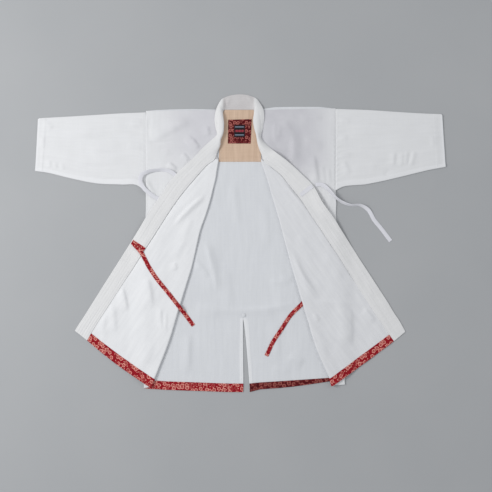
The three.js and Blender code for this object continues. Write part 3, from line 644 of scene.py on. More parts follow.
@dataclass
class Wall:
    """A closed thin wall round patches whose shared edges are joined.

    Attributes:
        solid: The name of the solid that it stands for.
        patches: The patches, wound the same way.
        rim: How far the edge bulges, as a share of the thickness.
        kind: The last word of the piece's name.
        sharp: From how many degrees an edge shows sharp.
    """

    solid: str
    patches: list[Patch]
    rim: float = 0.4
    kind: str = "cloth"
    sharp: float = 38

    def __post_init__(self) -> None:
        """Join the patches' points and list the four-cornered faces."""
        self.name = f"{self.solid}_{self.kind}"
        points, cuts, thick, doubled, quads = [], [], [], [], []
        count = 0
        for patch in self.patches:
            rows, columns = patch.points.shape[:2]
            number = count + np.arange(rows * columns).reshape(rows, columns)
            corners = (number[:-1, :-1], number[1:, :-1], number[1:, 1:], number[:-1, 1:])
            quads.append(np.stack([corner.ravel() for corner in corners], axis=1))
            points.append(patch.points.reshape(-1, 3))
            cuts.append(patch.cut.reshape(-1, 2))
            thick.append(patch.thicknesses().ravel())
            doubled.append(np.broadcast_to(patch.doubled, (rows, columns)).ravel())
            count += rows * columns
        loose = np.concatenate(points)
        _, first, joined = np.unique(np.round(loose, 4), axis=0, return_index=True, return_inverse=True)
        unjoined = np.concatenate(quads)
        self.points = loose[first]
        self.half = np.concatenate(thick)[first] / 2
        self.doubled = np.concatenate(doubled)[first]
        self.quads = joined.ravel()[unjoined]
        self.cut = np.concatenate(cuts)[unjoined]

    def outward(self) -> Array:
        """The direction out of each face, twice as long as its area."""
        a, b, c, d = (self.points[self.quads[:, i]] for i in range(4))
        return np.cross(c - a, d - b)

    def normals(self) -> Array:
        """The direction out of the middle surface.

        Returns:
            One direction for each point.
        """
        across = self.outward()
        total = np.zeros_like(self.points)
        for i in range(4):
            np.add.at(total, self.quads[:, i], across)
        return unit(total)

    def flat_area(self) -> float:
        """The area of the cloth in square metres."""
        return float(np.linalg.norm(self.outward(), axis=1).sum() / 2) * MM * MM

    def faces(self, normals: Array) -> tuple[Array, Array]:
        """The wall's upper and lower face.

        Args:
            normals: The direction out of the middle surface at each point.

        Returns:
            Their points and their four-cornered faces.
        """
        offset = normals * self.half[:, None]
        points = np.concatenate([self.points + offset, self.points - offset])
        return points, np.concatenate([self.quads, self.quads[:, ::-1] + len(self.points)])

    def tree(self) -> BVHTree:
        """The wall's upper and lower faces, for finding what lies on what."""
        points, faces = self.faces(self.normals())
        return BVHTree.FromPolygons(points.tolist(), faces.tolist())

    def make(self, finishes: Sequence[Material]) -> Object:
        """Make the mesh of the wall.

        Args:
            finishes: The finish of the face on the normals' side, and of the other one where it differs.

        Returns:
            The new object.
        """
        count = len(self.points)
        normals = self.normals()
        starts, ends = self.quads.ravel(), np.roll(self.quads, -1, axis=1).ravel()
        open_edge = ~np.isin(starts * count + ends, ends * count + starts)
        a, b = starts[open_edge], ends[open_edge]
        sideways = np.cross(self.points[b] - self.points[a], normals[a])
        away = np.zeros_like(self.points)
        for end in (a, b):
            np.add.at(away, end, sideways)
        rim_points = np.unique(a)
        rim_number = np.zeros(count, dtype=int)
        rim_number[rim_points] = 2 * count + np.arange(len(rim_points))
        reach = (2 * self.rim * self.half[rim_points])[:, None]
        rim = self.points[rim_points] + unit(away)[rim_points] * reach
        points, faces = self.faces(normals)
        upper = np.stack([b, a, rim_number[a], rim_number[b]], axis=1)
        lower = np.stack([rim_number[b], rim_number[a], a + count, b + count], axis=1)
        faces = np.concatenate([faces, upper, lower])
        start_cut, end_cut = (
            cut.reshape(-1, 2)[open_edge] for cut in (self.cut, np.roll(self.cut, -1, axis=1)))
        rim_cut = np.stack([end_cut, start_cut, start_cut, end_cut], axis=1)
        cut = np.concatenate([self.cut, self.cut[:, ::-1], rim_cut, rim_cut])
        layers = np.concatenate([self.doubled, self.doubled, self.doubled[rim_points]])
        mesh = bpy.data.meshes.new(self.name)
        mesh.from_pydata((np.concatenate([points, rim]) * MM).tolist(), [], faces.tolist())
        mesh.uv_layers.new(name="cut").data.foreach_set("uv", (cut * MM).ravel())
        doubled = mesh.attributes.new("doubled", "FLOAT", "POINT")
        doubled.data.foreach_set("value", layers.astype(np.float32))
        for finish in finishes:
            mesh.materials.append(finish)
        if len(finishes) > 1:
            counts = [len(self.quads), len(self.quads), len(a), len(a)]
            mesh.polygons.foreach_set("material_index", np.repeat([0, 1, 0, 0], counts))
        mesh.polygons.foreach_set("use_smooth", np.ones(len(faces), dtype=bool))
        mesh.set_sharp_from_angle(angle=math.radians(self.sharp))
        mesh.validate()
        return put(self.name, mesh)


class Nodes:
    """Adds nodes to one tree and links them."""

    def __init__(self, tree: Tree) -> None:
        """Keep the tree that the nodes go into."""
        self.tree = tree

    def add(self, kind: str, inputs: dict[str | int, object] | None = None, **settings: object) -> Node:
        """Add a node.

        Args:
            kind: Its type's name in Blender.
            inputs: A value or a socket for each input, by name or number.
            settings: Its other settings.

        Returns:
            The node.
        """
        node = self.tree.nodes.new(kind)
        for name, value in settings.items():
            setattr(node, name, value)
        for name, value in (inputs or {}).items():
            if isinstance(value, Socket):
                self.tree.links.new(value, node.inputs[name])
            else:
                node.inputs[name].default_value = value
        return node

    def first(self, kind: str, inputs: dict[str | int, object] | None = None, **settings: object) -> Socket:
        """Add a node, as add does, and take its first result."""
        return self.add(kind, inputs, **settings).outputs[0]

    def math(self, operation: str, *values: object) -> Socket:
        """The result of a sum on values or sockets."""
        return self.first("ShaderNodeMath", dict(enumerate(values)), operation=operation)

    def vector(self, operation: str, *values: object) -> Socket:
        """The result of a sum on vectors."""
        return self.first("ShaderNodeVectorMath", dict(enumerate(values)), operation=operation)

    def split(self, vector: Socket) -> Sockets:
        """The X, Y and Z of a vector."""
        return self.add("ShaderNodeSeparateXYZ", {0: vector}).outputs

    def mix(self, share: object, first: object, second: object) -> Socket:
        """A colour between two others."""
        return self.add("ShaderNodeMix", {0: share, 6: first, 7: second}, data_type="RGBA").outputs[2]

    def noise(self, vector: Socket, scale: float, detail: float = 2.0, distortion: float = 0.0) -> Socket:
        """A soft noise between nought and one."""
        inputs = {"Vector": vector, "Scale": scale, "Detail": detail, "Distortion": distortion}
        return self.add("ShaderNodeTexNoise", inputs).outputs["Fac"]

    def ramp(self, value: Socket, low: float, high: float) -> Socket:
        """A smooth rise of a value from nought at low to one at high."""
        inputs = {"Value": value, "From Min": low, "From Max": high}
        return self.first("ShaderNodeMapRange", inputs, interpolation_type="SMOOTHSTEP")

    def give(self, **results: Socket) -> Tree:
        """Make each result an output of the group.

        Args:
            results: A socket for each output's name.

        Returns:
            The group's tree.
        """
        for name in results:
            self.tree.interface.new_socket(name=name, in_out="OUTPUT", socket_type="NodeSocketFloat")
        self.add("NodeGroupOutput", results)
        return self.tree


def shader_group(name: str, inputs: str) -> tuple[Nodes, Sockets]:
    """Start a shader node group.

    Args:
        name: Its name.
        inputs: Its inputs' names, parted by spaces: Cut is a place in the cut cloth, any other a number.

    Returns:
        The group's nodes and the sockets of its inputs.
    """
    nodes = Nodes(bpy.data.node_groups.new(name, "ShaderNodeTree"))
    for label in inputs.split():
        kind = "NodeSocketVector" if label == "Cut" else "NodeSocketFloat"
        nodes.tree.interface.new_socket(name=label, in_out="INPUT", socket_type=kind)
    return nodes, nodes.add("NodeGroupInput").outputs


def bare_material(name: str) -> tuple[Material, Nodes]:
    """Start a material.

    Args:
        name: Its name.

    Returns:
        The material, and its nodes, of which there are none yet.
    """
    material = bpy.data.materials.new(name)
    material.use_nodes = True
    material.node_tree.nodes.clear()
    return material, Nodes(material.node_tree)


def woven_group() -> Tree:
    """The threads of a plain weave, with slubs along the warp.

    Returns:
        A group from a place in the cut to the weave's height and its tone.
    """
    nodes, given = shader_group("woven_cotton", "Cut Pitch Slub")
    cut, slub = given["Cut"], given["Slub"]
    at = nodes.split(cut)
    turns = nodes.math("DIVIDE", 2 * math.pi, given["Pitch"])
    warp, weft = (nodes.math("SINE", nodes.math("MULTIPLY", at[way], turns)) for way in "XY")
    height = nodes.math("MULTIPLY_ADD", nodes.math("MULTIPLY", warp, weft), 0.5, 0.5)
    streaks, cross_streaks, clouds = (
        nodes.noise(nodes.vector("MULTIPLY", cut, (across, up, 1)), 1.0, detail)
        for across, up, detail in ((420, 14, 3.0), (11, 380, 3.0), (85, 9, 2.5)))
    lines = nodes.math(
        "ADD", nodes.math("MULTIPLY", streaks, 0.6), nodes.math("MULTIPLY", cross_streaks, 0.4))
    broad = nodes.math("MULTIPLY", clouds, nodes.math("SUBTRACT", 1.0, slub))
    return nodes.give(Height=height, Tone=nodes.math("ADD", nodes.math("MULTIPLY", lines, slub), broad))


def crumple_group() -> Tree:
    """The small soft creases that ironing leaves in cotton.

    Returns:
        A group from a place in the cut to the creases' height.
    """
    nodes, given = shader_group("soft_crumple", "Cut Size")
    size = nodes.first("ShaderNodeCombineXYZ", {i: given["Size"] for i in range(3)})
    scaled = nodes.vector("DIVIDE", given["Cut"], size)
    folds = nodes.noise(scaled, 1.0, 2.5, 0.8)
    ridges = nodes.math("ABSOLUTE", nodes.math("SUBTRACT", folds, 0.5))
    broad = nodes.noise(nodes.vector("MULTIPLY", scaled, (0.35, 0.35, 1)), 1.0, 1.0)
    raised, sunk = nodes.math("MULTIPLY", broad, 2.0), nodes.math("MULTIPLY", ridges, 0.6)
    return nodes.give(Height=nodes.math("SUBTRACT", raised, sunk))


def blossom_group() -> Tree:
    """Five-petalled blossoms scattered over a cloth, drawn as outlines.

    Returns:
        A group from a place in the cut to the masks of the petals, of their outline and of their hearts, and
        a tint for each blossom.
    """
    nodes, given = shader_group("blossoms", "Cut Size")
    scale = nodes.math("DIVIDE", 1.0, given["Size"])
    inputs = {"Vector": given["Cut"], "Scale": scale, "Randomness": 0.75}
    cells = nodes.add("ShaderNodeTexVoronoi", inputs, voronoi_dimensions="2D").outputs
    away = nodes.split(nodes.vector("SUBTRACT", given["Cut"], cells["Position"]))
    tint = nodes.add("ShaderNodeSeparateColor", {0: cells["Color"]}).outputs
    angle = nodes.math("ARCTAN2", away["Y"], away["X"])
    turned = nodes.math("MULTIPLY_ADD", tint["Green"], 6.3, nodes.math("MULTIPLY", angle, 2.5))
    lobes = nodes.math("ABSOLUTE", nodes.math("COSINE", turned))
    edge = nodes.math("MULTIPLY_ADD", lobes, 0.09, 0.26)
    inside = nodes.math("SUBTRACT", edge, cells["Distance"])
    return nodes.give(
        Petals=nodes.ramp(inside, -0.02, 0.03),
        Outline=nodes.ramp(nodes.math("ABSOLUTE", inside), 0.075, 0.045),
        Heart=nodes.ramp(cells["Distance"], 0.09, 0.05),
        Tint=tint["Red"])


@dataclass
class Effects:
    """The shader groups that several finishes share."""

    woven: Tree = field(default_factory=woven_group)
    crumple: Tree = field(default_factory=crumple_group)
    blossoms: Tree = field(default_factory=blossom_group)




@dataclass(frozen=True)
class CottonFinish:
    """A woven cotton.

    Attributes:
        name: The material's name.
        light: Its colour on the threads that catch the light.
        dark: Its colour between them.
        doubled: Its colour where it is doubled.
        pitch: From one thread to the next but one, in metres.
        slub: How much its tone follows the threads and not broad clouds.
        crumple: Height of its small creases, in metres.
        crumple_size: How far they are apart, in metres.
        sheen: How much light its nap scatters.
        roughness: How dull it is.
    """

    name: str
    light: Colour
    dark: Colour
    doubled: Colour = (0.86, 0.86, 0.87, 1)
    pitch: float = 0.0011
    slub: float = 0.5
    crumple: float = 0.0012
    crumple_size: float = 0.03
    sheen: float = 0.2
    roughness: float = 0.88

    def surface(self, effects: Effects) -> tuple[Material, Nodes, Socket, Node]:
        """Make the weave, its bump and its shader.

        Args:
            effects: The shared shader groups.

        Returns:
            The material, its nodes, the place in the cut and the shader.
        """
        material, nodes = bare_material(self.name)
        cut = nodes.first("ShaderNodeUVMap", uv_map="cut")
        inputs = {"Cut": cut, "Pitch": self.pitch, "Slub": self.slub}
        woven = nodes.add("ShaderNodeGroup", inputs, node_tree=effects.woven).outputs
        inputs = {"Cut": cut, "Size": self.crumple_size}
        creased = nodes.first("ShaderNodeGroup", inputs, node_tree=effects.crumple)
        tone = nodes.ramp(woven["Tone"], 0.3, 0.7)
        single = nodes.mix(tone, self.dark, self.light)
        layers = nodes.add("ShaderNodeAttribute", attribute_name="doubled").outputs["Fac"]
        colour = nodes.mix(nodes.math("MULTIPLY", layers, 0.8), single, self.doubled)
        dulled = nodes.math("MULTIPLY_ADD", tone, 0.06, self.roughness - 0.03)
        soft = nodes.first("ShaderNodeBump", {"Height": creased, "Distance": self.crumple, "Strength": 1.0})
        fine = nodes.first("ShaderNodeBump", {
            "Height": woven["Height"], "Distance": THREAD_RELIEF, "Strength": 0.5, "Normal": soft})
        shader = nodes.add("ShaderNodeBsdfPrincipled", {
            "Base Color": colour, "Roughness": dulled, "Normal": fine, "Sheen Weight": self.sheen,
            "Sheen Roughness": 0.5, "Specular IOR Level": 0.25})
        nodes.add("ShaderNodeOutputMaterial", {"Surface": shader.outputs[0]}).is_active_output = True
        return material, nodes, cut, shader

    def make(self, effects: Effects) -> Material:
        """The finish as a material."""
        return self.surface(effects)[0]


@dataclass(frozen=True)
class PrintFinish(CottonFinish):
    """A cotton printed with blossoms.

    Attributes:
        petal: The colour of the petals' outline and of the buds.
        blush: The colour inside them.
        blossom: From one blossom to the next, in metres.
        bud: From one small bud to the next, in metres.
    """

    petal: Colour = (0.92, 0.42, 0.34, 1)
    blush: Colour = (0.36, 0.015, 0.025, 1)
    blossom: float = 0.0145
    bud: float = 0.0052

    def make(self, effects: Effects) -> Material:
        """Lay the blossoms over the cotton.

        Args:
            effects: The shared shader groups.

        Returns:
            The material.
        """
        material, nodes, cut, shader = self.surface(effects)
        ground = shader.inputs["Base Color"].links[0].from_socket
        bud, flower = (
            nodes.add("ShaderNodeGroup", {"Cut": cut, "Size": size}, node_tree=effects.blossoms).outputs
            for size in (self.bud, self.blossom))
        sparse = nodes.math("MULTIPLY", bud["Petals"], nodes.ramp(bud["Tint"], 0.80, 0.84))
        with_buds = nodes.mix(nodes.math("MULTIPLY", sparse, 0.8), ground, self.petal)
        inside = nodes.mix(nodes.ramp(flower["Tint"], 0.3, 0.9), ground, self.blush)
        with_petals = nodes.mix(flower["Petals"], with_buds, inside)
        drawn = nodes.math("MAXIMUM", flower["Outline"], flower["Heart"])
        strength = nodes.ramp(flower["Tint"], -0.05, 0.55)
        whole = nodes.mix(nodes.math("MULTIPLY", drawn, strength), with_petals, self.petal)
        nodes.tree.links.new(whole, shader.inputs["Base Color"])
        return material


@dataclass(frozen=True)
class PaintedShadeFinish(CottonFinish):
    """A cotton with painted shade over one zone of the piece: a darker colour is mixed into its own there,
    standing in for shade.

    Attributes:
        painted_shade: The colour of the painted shade there.
        middle: The middle of the zone, across, in metres.
        reach: How far it reaches to each side of that, in metres.
        low: Where it starts, up the body, in metres.
        soft: How softly it starts and ends, in metres.
    """

    painted_shade: Colour = (0.66, 0.645, 0.64, 1)
    middle: float = 0.0
    reach: float = 1.0
    low: float = 0.0
    soft: float = 0.004

    def make(self, effects: Effects) -> Material:
        """Lay the painted shade over the cotton.

        Args:
            effects: The shared shader groups.

        Returns:
            The material.
        """
        material, nodes, _, shader = self.surface(effects)
        ground = shader.inputs["Base Color"].links[0].from_socket
        place = nodes.add("ShaderNodeTexCoord").outputs["Object"]
        at = nodes.split(place)
        away = nodes.math("ABSOLUTE", nodes.math("SUBTRACT", at["X"], self.middle))
        beside = nodes.ramp(away, self.reach + self.soft, self.reach - self.soft)
        above = nodes.ramp(at["Y"], self.low - self.soft, self.low + self.soft)
        patchy = nodes.math("MULTIPLY_ADD", nodes.noise(place, 22.0), 0.6, 0.6)
        share = nodes.math("MULTIPLY", nodes.math("MULTIPLY", beside, above), patchy)
        # Painted shade: the darker colour mixed in unevenly over the zone.
        whole = nodes.mix(share, ground, self.painted_shade)
        nodes.tree.links.new(whole, shader.inputs["Base Color"])
        return material


@dataclass(frozen=True)
class LabelFinish(CottonFinish):
    """A woven label with plain bars and lozenges.

    Attributes:
        bar: The colour of the bars.
        lozenge: The colour of the lozenges.
        middle: The middle of the label in the cut, in metres.
        size: Its width and height, in metres.
    """

    bar: Colour = (0.22, 0.27, 0.34, 1)
    lozenge: Colour = (0.42, 0.04, 0.06, 1)
    middle: tuple[float, float] = (-0.003, 0.353)
    size: tuple[float, float] = (0.034, 0.038)

    def make(self, effects: Effects) -> Material:
        """Weave the bars and lozenges into the ground.

        Args:
            effects: The shared shader groups.

        Returns:
            The material.
        """
        material, nodes, cut, shader = self.surface(effects)
        ground = shader.inputs["Base Color"].links[0].from_socket
        at = nodes.split(cut)
        x, y = (
            nodes.math("DIVIDE", nodes.math("SUBTRACT", at[way], middle), size)
            for way, middle, size in zip("XY", self.middle, self.size))
        across, up = nodes.math("ABSOLUTE", x), nodes.math("ABSOLUTE", y)
        zigzag = nodes.math("PINGPONG", nodes.math("ADD", x, 0.5), 0.14)
        third = nodes.math("ABSOLUTE", nodes.math("SUBTRACT", zigzag, 0.07))
        reach = nodes.math("ADD", nodes.math("MULTIPLY", third, 2.2), nodes.math("MULTIPLY", up, 1.1))
        inside = nodes.ramp(across, 0.42, 0.40)
        lozenges = nodes.math("MULTIPLY", nodes.ramp(reach, 0.16, 0.13), inside)
        from_bar = nodes.math("ABSOLUTE", nodes.math("SUBTRACT", up, 0.33))
        bars = nodes.math("MULTIPLY", nodes.ramp(from_bar, 0.045, 0.03), inside)
        whole = nodes.mix(bars, nodes.mix(lozenges, ground, self.lozenge), self.bar)
        nodes.tree.links.new(whole, shader.inputs["Base Color"])
        return material


WHITE = ((0.825, 0.825, 0.83, 1), (0.785, 0.785, 0.79, 1))


@dataclass(frozen=True)
class Finishes:
    """The finish of each slot and of the sewing threads."""

    outside: CottonFinish = CottonFinish("cotton_outside", *WHITE, slub=0.6)
    # Painted shade over the upper part of each front's outer face, towards its shoulder, darker on the right.
    front_left: PaintedShadeFinish = PaintedShadeFinish(
        "cotton_front_left", *WHITE, slub=0.6, painted_shade=(0.67, 0.66, 0.69, 1), middle=-0.10, reach=0.11,
        low=0.24, soft=0.10)
    front_right: PaintedShadeFinish = PaintedShadeFinish(
        "cotton_front_right", *WHITE, slub=0.6, painted_shade=(0.62, 0.61, 0.64, 1), middle=0.11, reach=0.15,
        low=0.21, soft=0.08)
    # The flaps' inside is one cloth made twice: the left copy is painted lighter, as painted light, and the
    # right copy darker, as painted shade.
    inside_left: CottonFinish = CottonFinish(
        "cotton_inside_left", (0.88, 0.88, 0.885, 1), (0.82, 0.82, 0.83, 1))
    inside_right: CottonFinish = CottonFinish(
        "cotton_inside_right", (0.81, 0.81, 0.82, 1), (0.75, 0.75, 0.765, 1))
    back: CottonFinish = CottonFinish("cotton_back", (0.755, 0.765, 0.785, 1), (0.715, 0.725, 0.745, 1))
    # Painted shade on the band across the back of the neck, between its two mitres, where the standing collar
    # lies in shade.
    band: PaintedShadeFinish = PaintedShadeFinish(
        "cotton_band", (0.84, 0.83, 0.825, 1), (0.77, 0.765, 0.76, 1), crumple=0.0005, crumple_size=0.014,
        painted_shade=(0.615, 0.585, 0.58, 1), middle=-0.0055, reach=0.049, low=0.417)
    tape: CottonFinish = CottonFinish(
        "cotton_tape", (0.82, 0.815, 0.85, 1), (0.75, 0.745, 0.785, 1), pitch=0.0009, crumple=0.0002)
    beige: CottonFinish = CottonFinish(
        "cotton_beige", (0.74, 0.55, 0.41, 1), (0.60, 0.43, 0.31, 1), slub=0.5, crumple_size=0.02)
    thread: CottonFinish = CottonFinish(
        "thread_white", (0.82, 0.82, 0.82, 1), (0.74, 0.74, 0.75, 1), crumple=0.0, sheen=0.3)
    red_thread: CottonFinish = CottonFinish(
        "thread_red", (0.40, 0.02, 0.05, 1), (0.33, 0.015, 0.035, 1), crumple=0.0, sheen=0.3)
    printed: PrintFinish = PrintFinish(
        "print_red", (0.38, 0.005, 0.015, 1), (0.24, 0.003, 0.009, 1), crumple=0.0005, crumple_size=0.012,
        sheen=0.06)
    # The print made darker as painted shade, for the back's right trim, where the strip lies in shade.
    deep: PrintFinish = PrintFinish(
        "print_painted_shade", (0.13, 0.002, 0.005, 1), (0.06, 0.001, 0.003, 1), crumple=0.0005, crumple_size=0.012,
        petal=(0.48, 0.15, 0.12, 1), blush=(0.10, 0.002, 0.005, 1), sheen=0.04)
    square: PrintFinish = PrintFinish(
        "print_square", (0.12, 0.002, 0.005, 1), (0.06, 0.001, 0.003, 1), crumple=0.0005, crumple_size=0.012,
        petal=(0.62, 0.20, 0.165, 1), blush=(0.08, 0.002, 0.004, 1), blossom=0.0125, bud=0.0048, sheen=0.04)
    label: LabelFinish = LabelFinish(
        "label_black", (0.012, 0.012, 0.016, 1), (0.006, 0.006, 0.008, 1), pitch=0.0007, crumple=0.0002)

    def make(self) -> dict[str, Material]:
        """Every finish as a material, by the field's name."""
        effects = Effects()
        return {name: getattr(self, name).make(effects) for name in self.__dataclass_fields__}


@dataclass
class Studio:
    """The floor, the lights and the camera.

    Attributes:
        view: Width of what the camera sees on the floor.
        aim: Where it looks, across and up the body.
        height: How high it hangs.
        floor: Width of the floor.
        sensor: Width of the camera's sensor.
        lights: Each light's name, its place and its width in metres, and its power in watts.
    """

    view: float = 1550
    aim: tuple[float, float] = (17.6, -8.7)
    height: float = 2400
    floor: float = 9000
    sensor: float = 36
    lights: tuple[tuple, ...] = (
        ("key", (-2.3, 0.45, 2.3), 1.1, 52), ("fill", (2.4, 0.8, 2.2), 2.0, 10))

    def camera(self) -> None:
        """Hang the camera over the jacket, looking straight down."""
        data = bpy.data.cameras.new("view_from_above")
        data.sensor_width = self.sensor
        data.lens = self.sensor * self.height / self.view
        data.clip_end = 50
        camera = put("view_from_above", data)
        camera.location = (self.aim[0] * MM, self.aim[1] * MM, self.height * MM)
        bpy.context.scene.camera = camera

    def light(self, name: str, place: tuple[float, float, float], width: float, power: float) -> None:
        """Hang a soft light that points at the jacket.

        Args:
            name: The light's name.
            place: Where it hangs, in metres.
            width: Width of its panel, in metres.
            power: Its power in watts.
        """
        data = bpy.data.lights.new(name, "AREA")
        data.size = width
        data.energy = power
        lamp = put(name, data)
        lamp.location = place
        lamp.rotation_euler = (-Vector(place)).to_track_quat("-Z", "Y").to_euler()

    def build(self) -> None:
        """Make the floor, the world and the lights."""
        half = self.floor * MM / 2
        mesh = bpy.data.meshes.new("floor")
        corners = ((-half, -half), (half, -half), (half, half), (-half, half))
        mesh.from_pydata([(x, y, -0.1 * MM) for x, y in corners], [], [(0, 1, 2, 3)])
        material, nodes = bare_material("floor_paint")
        tone = nodes.noise(nodes.add("ShaderNodeTexCoord").outputs["Object"], 3.0, 4.0)
        colour = nodes.mix(tone, (0.42, 0.43, 0.44, 1), (0.47, 0.475, 0.48, 1))
        shader = nodes.first("ShaderNodeBsdfPrincipled", {
            "Base Color": colour, "Roughness": 0.8, "Specular IOR Level": 0.2})
        nodes.add("ShaderNodeOutputMaterial", {"Surface": shader})
        mesh.materials.append(material)
        put("floor", mesh)
        world = bpy.data.worlds.new("soft_room")
        world.use_nodes = True
        sky = world.node_tree.nodes["Background"].inputs
        sky["Color"].default_value = (0.93, 0.96, 1.0, 1)
        sky["Strength"].default_value = 0.50
        bpy.context.scene.world = world
        for name, place, width, power in self.lights:
            self.light(name, place, width, power)
        bpy.context.scene.view_settings.view_transform = "Standard"


@dataclass
class Sewing:
    """Rows of stitches, made by one node tree along lines that lie on the cloth.

    Attributes:
        name: The piece's name.
        stitch: Length of a stitch.
        gap: From one stitch to the next.
        thread: Width of the thread.
        lines: The lines that the stitches follow, in millimetres.
    """

    name: str
    stitch: float = 3.2
    gap: float = 1.1
    thread: float = 0.55
    lines: list[Array] = field(default_factory=list)

    def along(self, line: Array) -> None:
        """Sew along a line of points."""
        self.lines.append(np.asarray(line, dtype=float))

    def tree(self) -> Tree:
        """Build the tree that sews.

        Returns:
            A geometry node tree from edges to stitches along them.
        """
        nodes = Nodes(bpy.data.node_groups.new(f"{self.name}_stitches", "GeometryNodeTree"))
        interface = nodes.tree.interface
        for label, kind in (("Lines", "Geometry"), ("Stitch Length", "Float"), ("Gap", "Float"),
                            ("Thread Width", "Float"), ("Thread", "Material")):
            interface.new_socket(name=label, in_out="INPUT", socket_type=f"NodeSocket{kind}")
        interface.new_socket(name="Stitches", in_out="OUTPUT", socket_type="NodeSocketGeometry")
        given = nodes.add("NodeGroupInput").outputs
        path = nodes.first("GeometryNodeMeshToCurve", {0: given["Lines"]})
        pitch = nodes.math("ADD", given["Stitch Length"], given["Gap"])
        spaces = nodes.first("GeometryNodeResampleCurve", {"Curve": path, "Length": pitch}, mode="LENGTH")
        ahead = nodes.first("GeometryNodeInputTangent")
        turned = nodes.first("FunctionNodeAlignRotationToVector", {"Vector": ahead}, axis="X")
        bead = nodes.add("GeometryNodeMeshIcoSphere", {"Radius": 0.5, "Subdivisions": 1}).outputs["Mesh"]
        width = given["Thread Width"]
        size = nodes.first("ShaderNodeCombineXYZ", {0: given["Stitch Length"], 1: width, 2: width})
        stitch = nodes.first("GeometryNodeTransform", {"Geometry": bead, "Scale": size})
        rows = nodes.first("GeometryNodeInstanceOnPoints", {
            "Points": spaces, "Instance": stitch, "Rotation": turned})
        real = nodes.first("GeometryNodeRealizeInstances", {0: rows})
        smoothed = nodes.first("GeometryNodeSetShadeSmooth", {0: real})
        inputs = {"Geometry": smoothed, "Material": given["Thread"]}
        nodes.add("NodeGroupOutput", {0: nodes.first("GeometryNodeSetMaterial", inputs)})
        return nodes.tree

    def build(self, thread: Material) -> Object:
        """Sew along every line.

        Args:
            thread: The thread's material.

        Returns:
            One plain mesh of all the stitches.
        """
        points = np.concatenate(self.lines) * MM
        edges = []
        first = 0
        for line in self.lines:
            edges += [(first + i, first + i + 1) for i in range(len(line) - 1)]
            first += len(line)
        guide_mesh = bpy.data.meshes.new(f"{self.name}_guide")
        guide_mesh.from_pydata(points.tolist(), edges, [])
        guide = put(f"{self.name}_guide", guide_mesh)
        modifier = guide.modifiers.new("sew", "NODES")
        modifier.node_group = self.tree()
        values = {"Stitch Length": self.stitch * MM, "Gap": self.gap * MM, "Thread Width": self.thread * MM,
                  "Thread": thread}
        for item in modifier.node_group.interface.items_tree:
            if item.in_out == "INPUT" and item.name in values:
                modifier[item.identifier] = values[item.name]
        evaluated = guide.evaluated_get(bpy.context.evaluated_depsgraph_get())
        mesh = bpy.data.meshes.new_from_object(evaluated)
        mesh.name = self.name
        guide.modifiers.remove(modifier)
        bpy.data.objects.remove(guide)
        return put(self.name, mesh)


def dress(piece: Object, slot: Slot, *nodes: str) -> Object:
    """Let a piece ride on the jacket and hide the solids that it stands for.

    Args:
        piece: The piece.
        slot: The record's slot, which is not used.
        nodes: The solids that it replaces.

    Returns:
        The piece.
    """
    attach(piece, BODY)
    if nodes:
        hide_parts(*nodes)
    LOG.info("%s: %d faces", piece.name, len(piece.data.polygons))
    return piece


@dataclass
class Workroom:
    """The materials and the threads that all pieces are made with.

    Attributes:
        finishes: Every finish as a material.
        white: The white stitches, which gather lines as pieces are made.
        red: The red ones.
    """

    finishes: dict[str, Material]
    white: Sewing = field(default_factory=lambda: Sewing("stitching_white"))
    red: Sewing = field(default_factory=lambda: Sewing("stitching_red"))

    def cloth(
        self, wall: Wall, slot: Slot, finishes: Sequence[str], flat: Sequence[float],
        under: Sequence[str] = (), held: str = "laid", solid: bool = True,
    ) -> None:
        """Args:
            wall: Its wall, whose area is the cut's.
            slot: The record's slot, passed on to dress.
            finishes: The finish of the face on the normals' side, and of the other one where it differs.
            flat: Width and length of the cloth that it is cut from, in metres.
            under: The pieces that it rests on, which is not used.
            held: How it is held, which is not used.
            solid: Whether it stands for a solid.
        """
        piece = wall.make([self.finishes[name] for name in finishes])
        dress(piece, slot, *([wall.solid] if solid else []))
        width, length = (round(float(size), 4) for size in flat)
        area = min(wall.flat_area(), 0.999 * width * length)


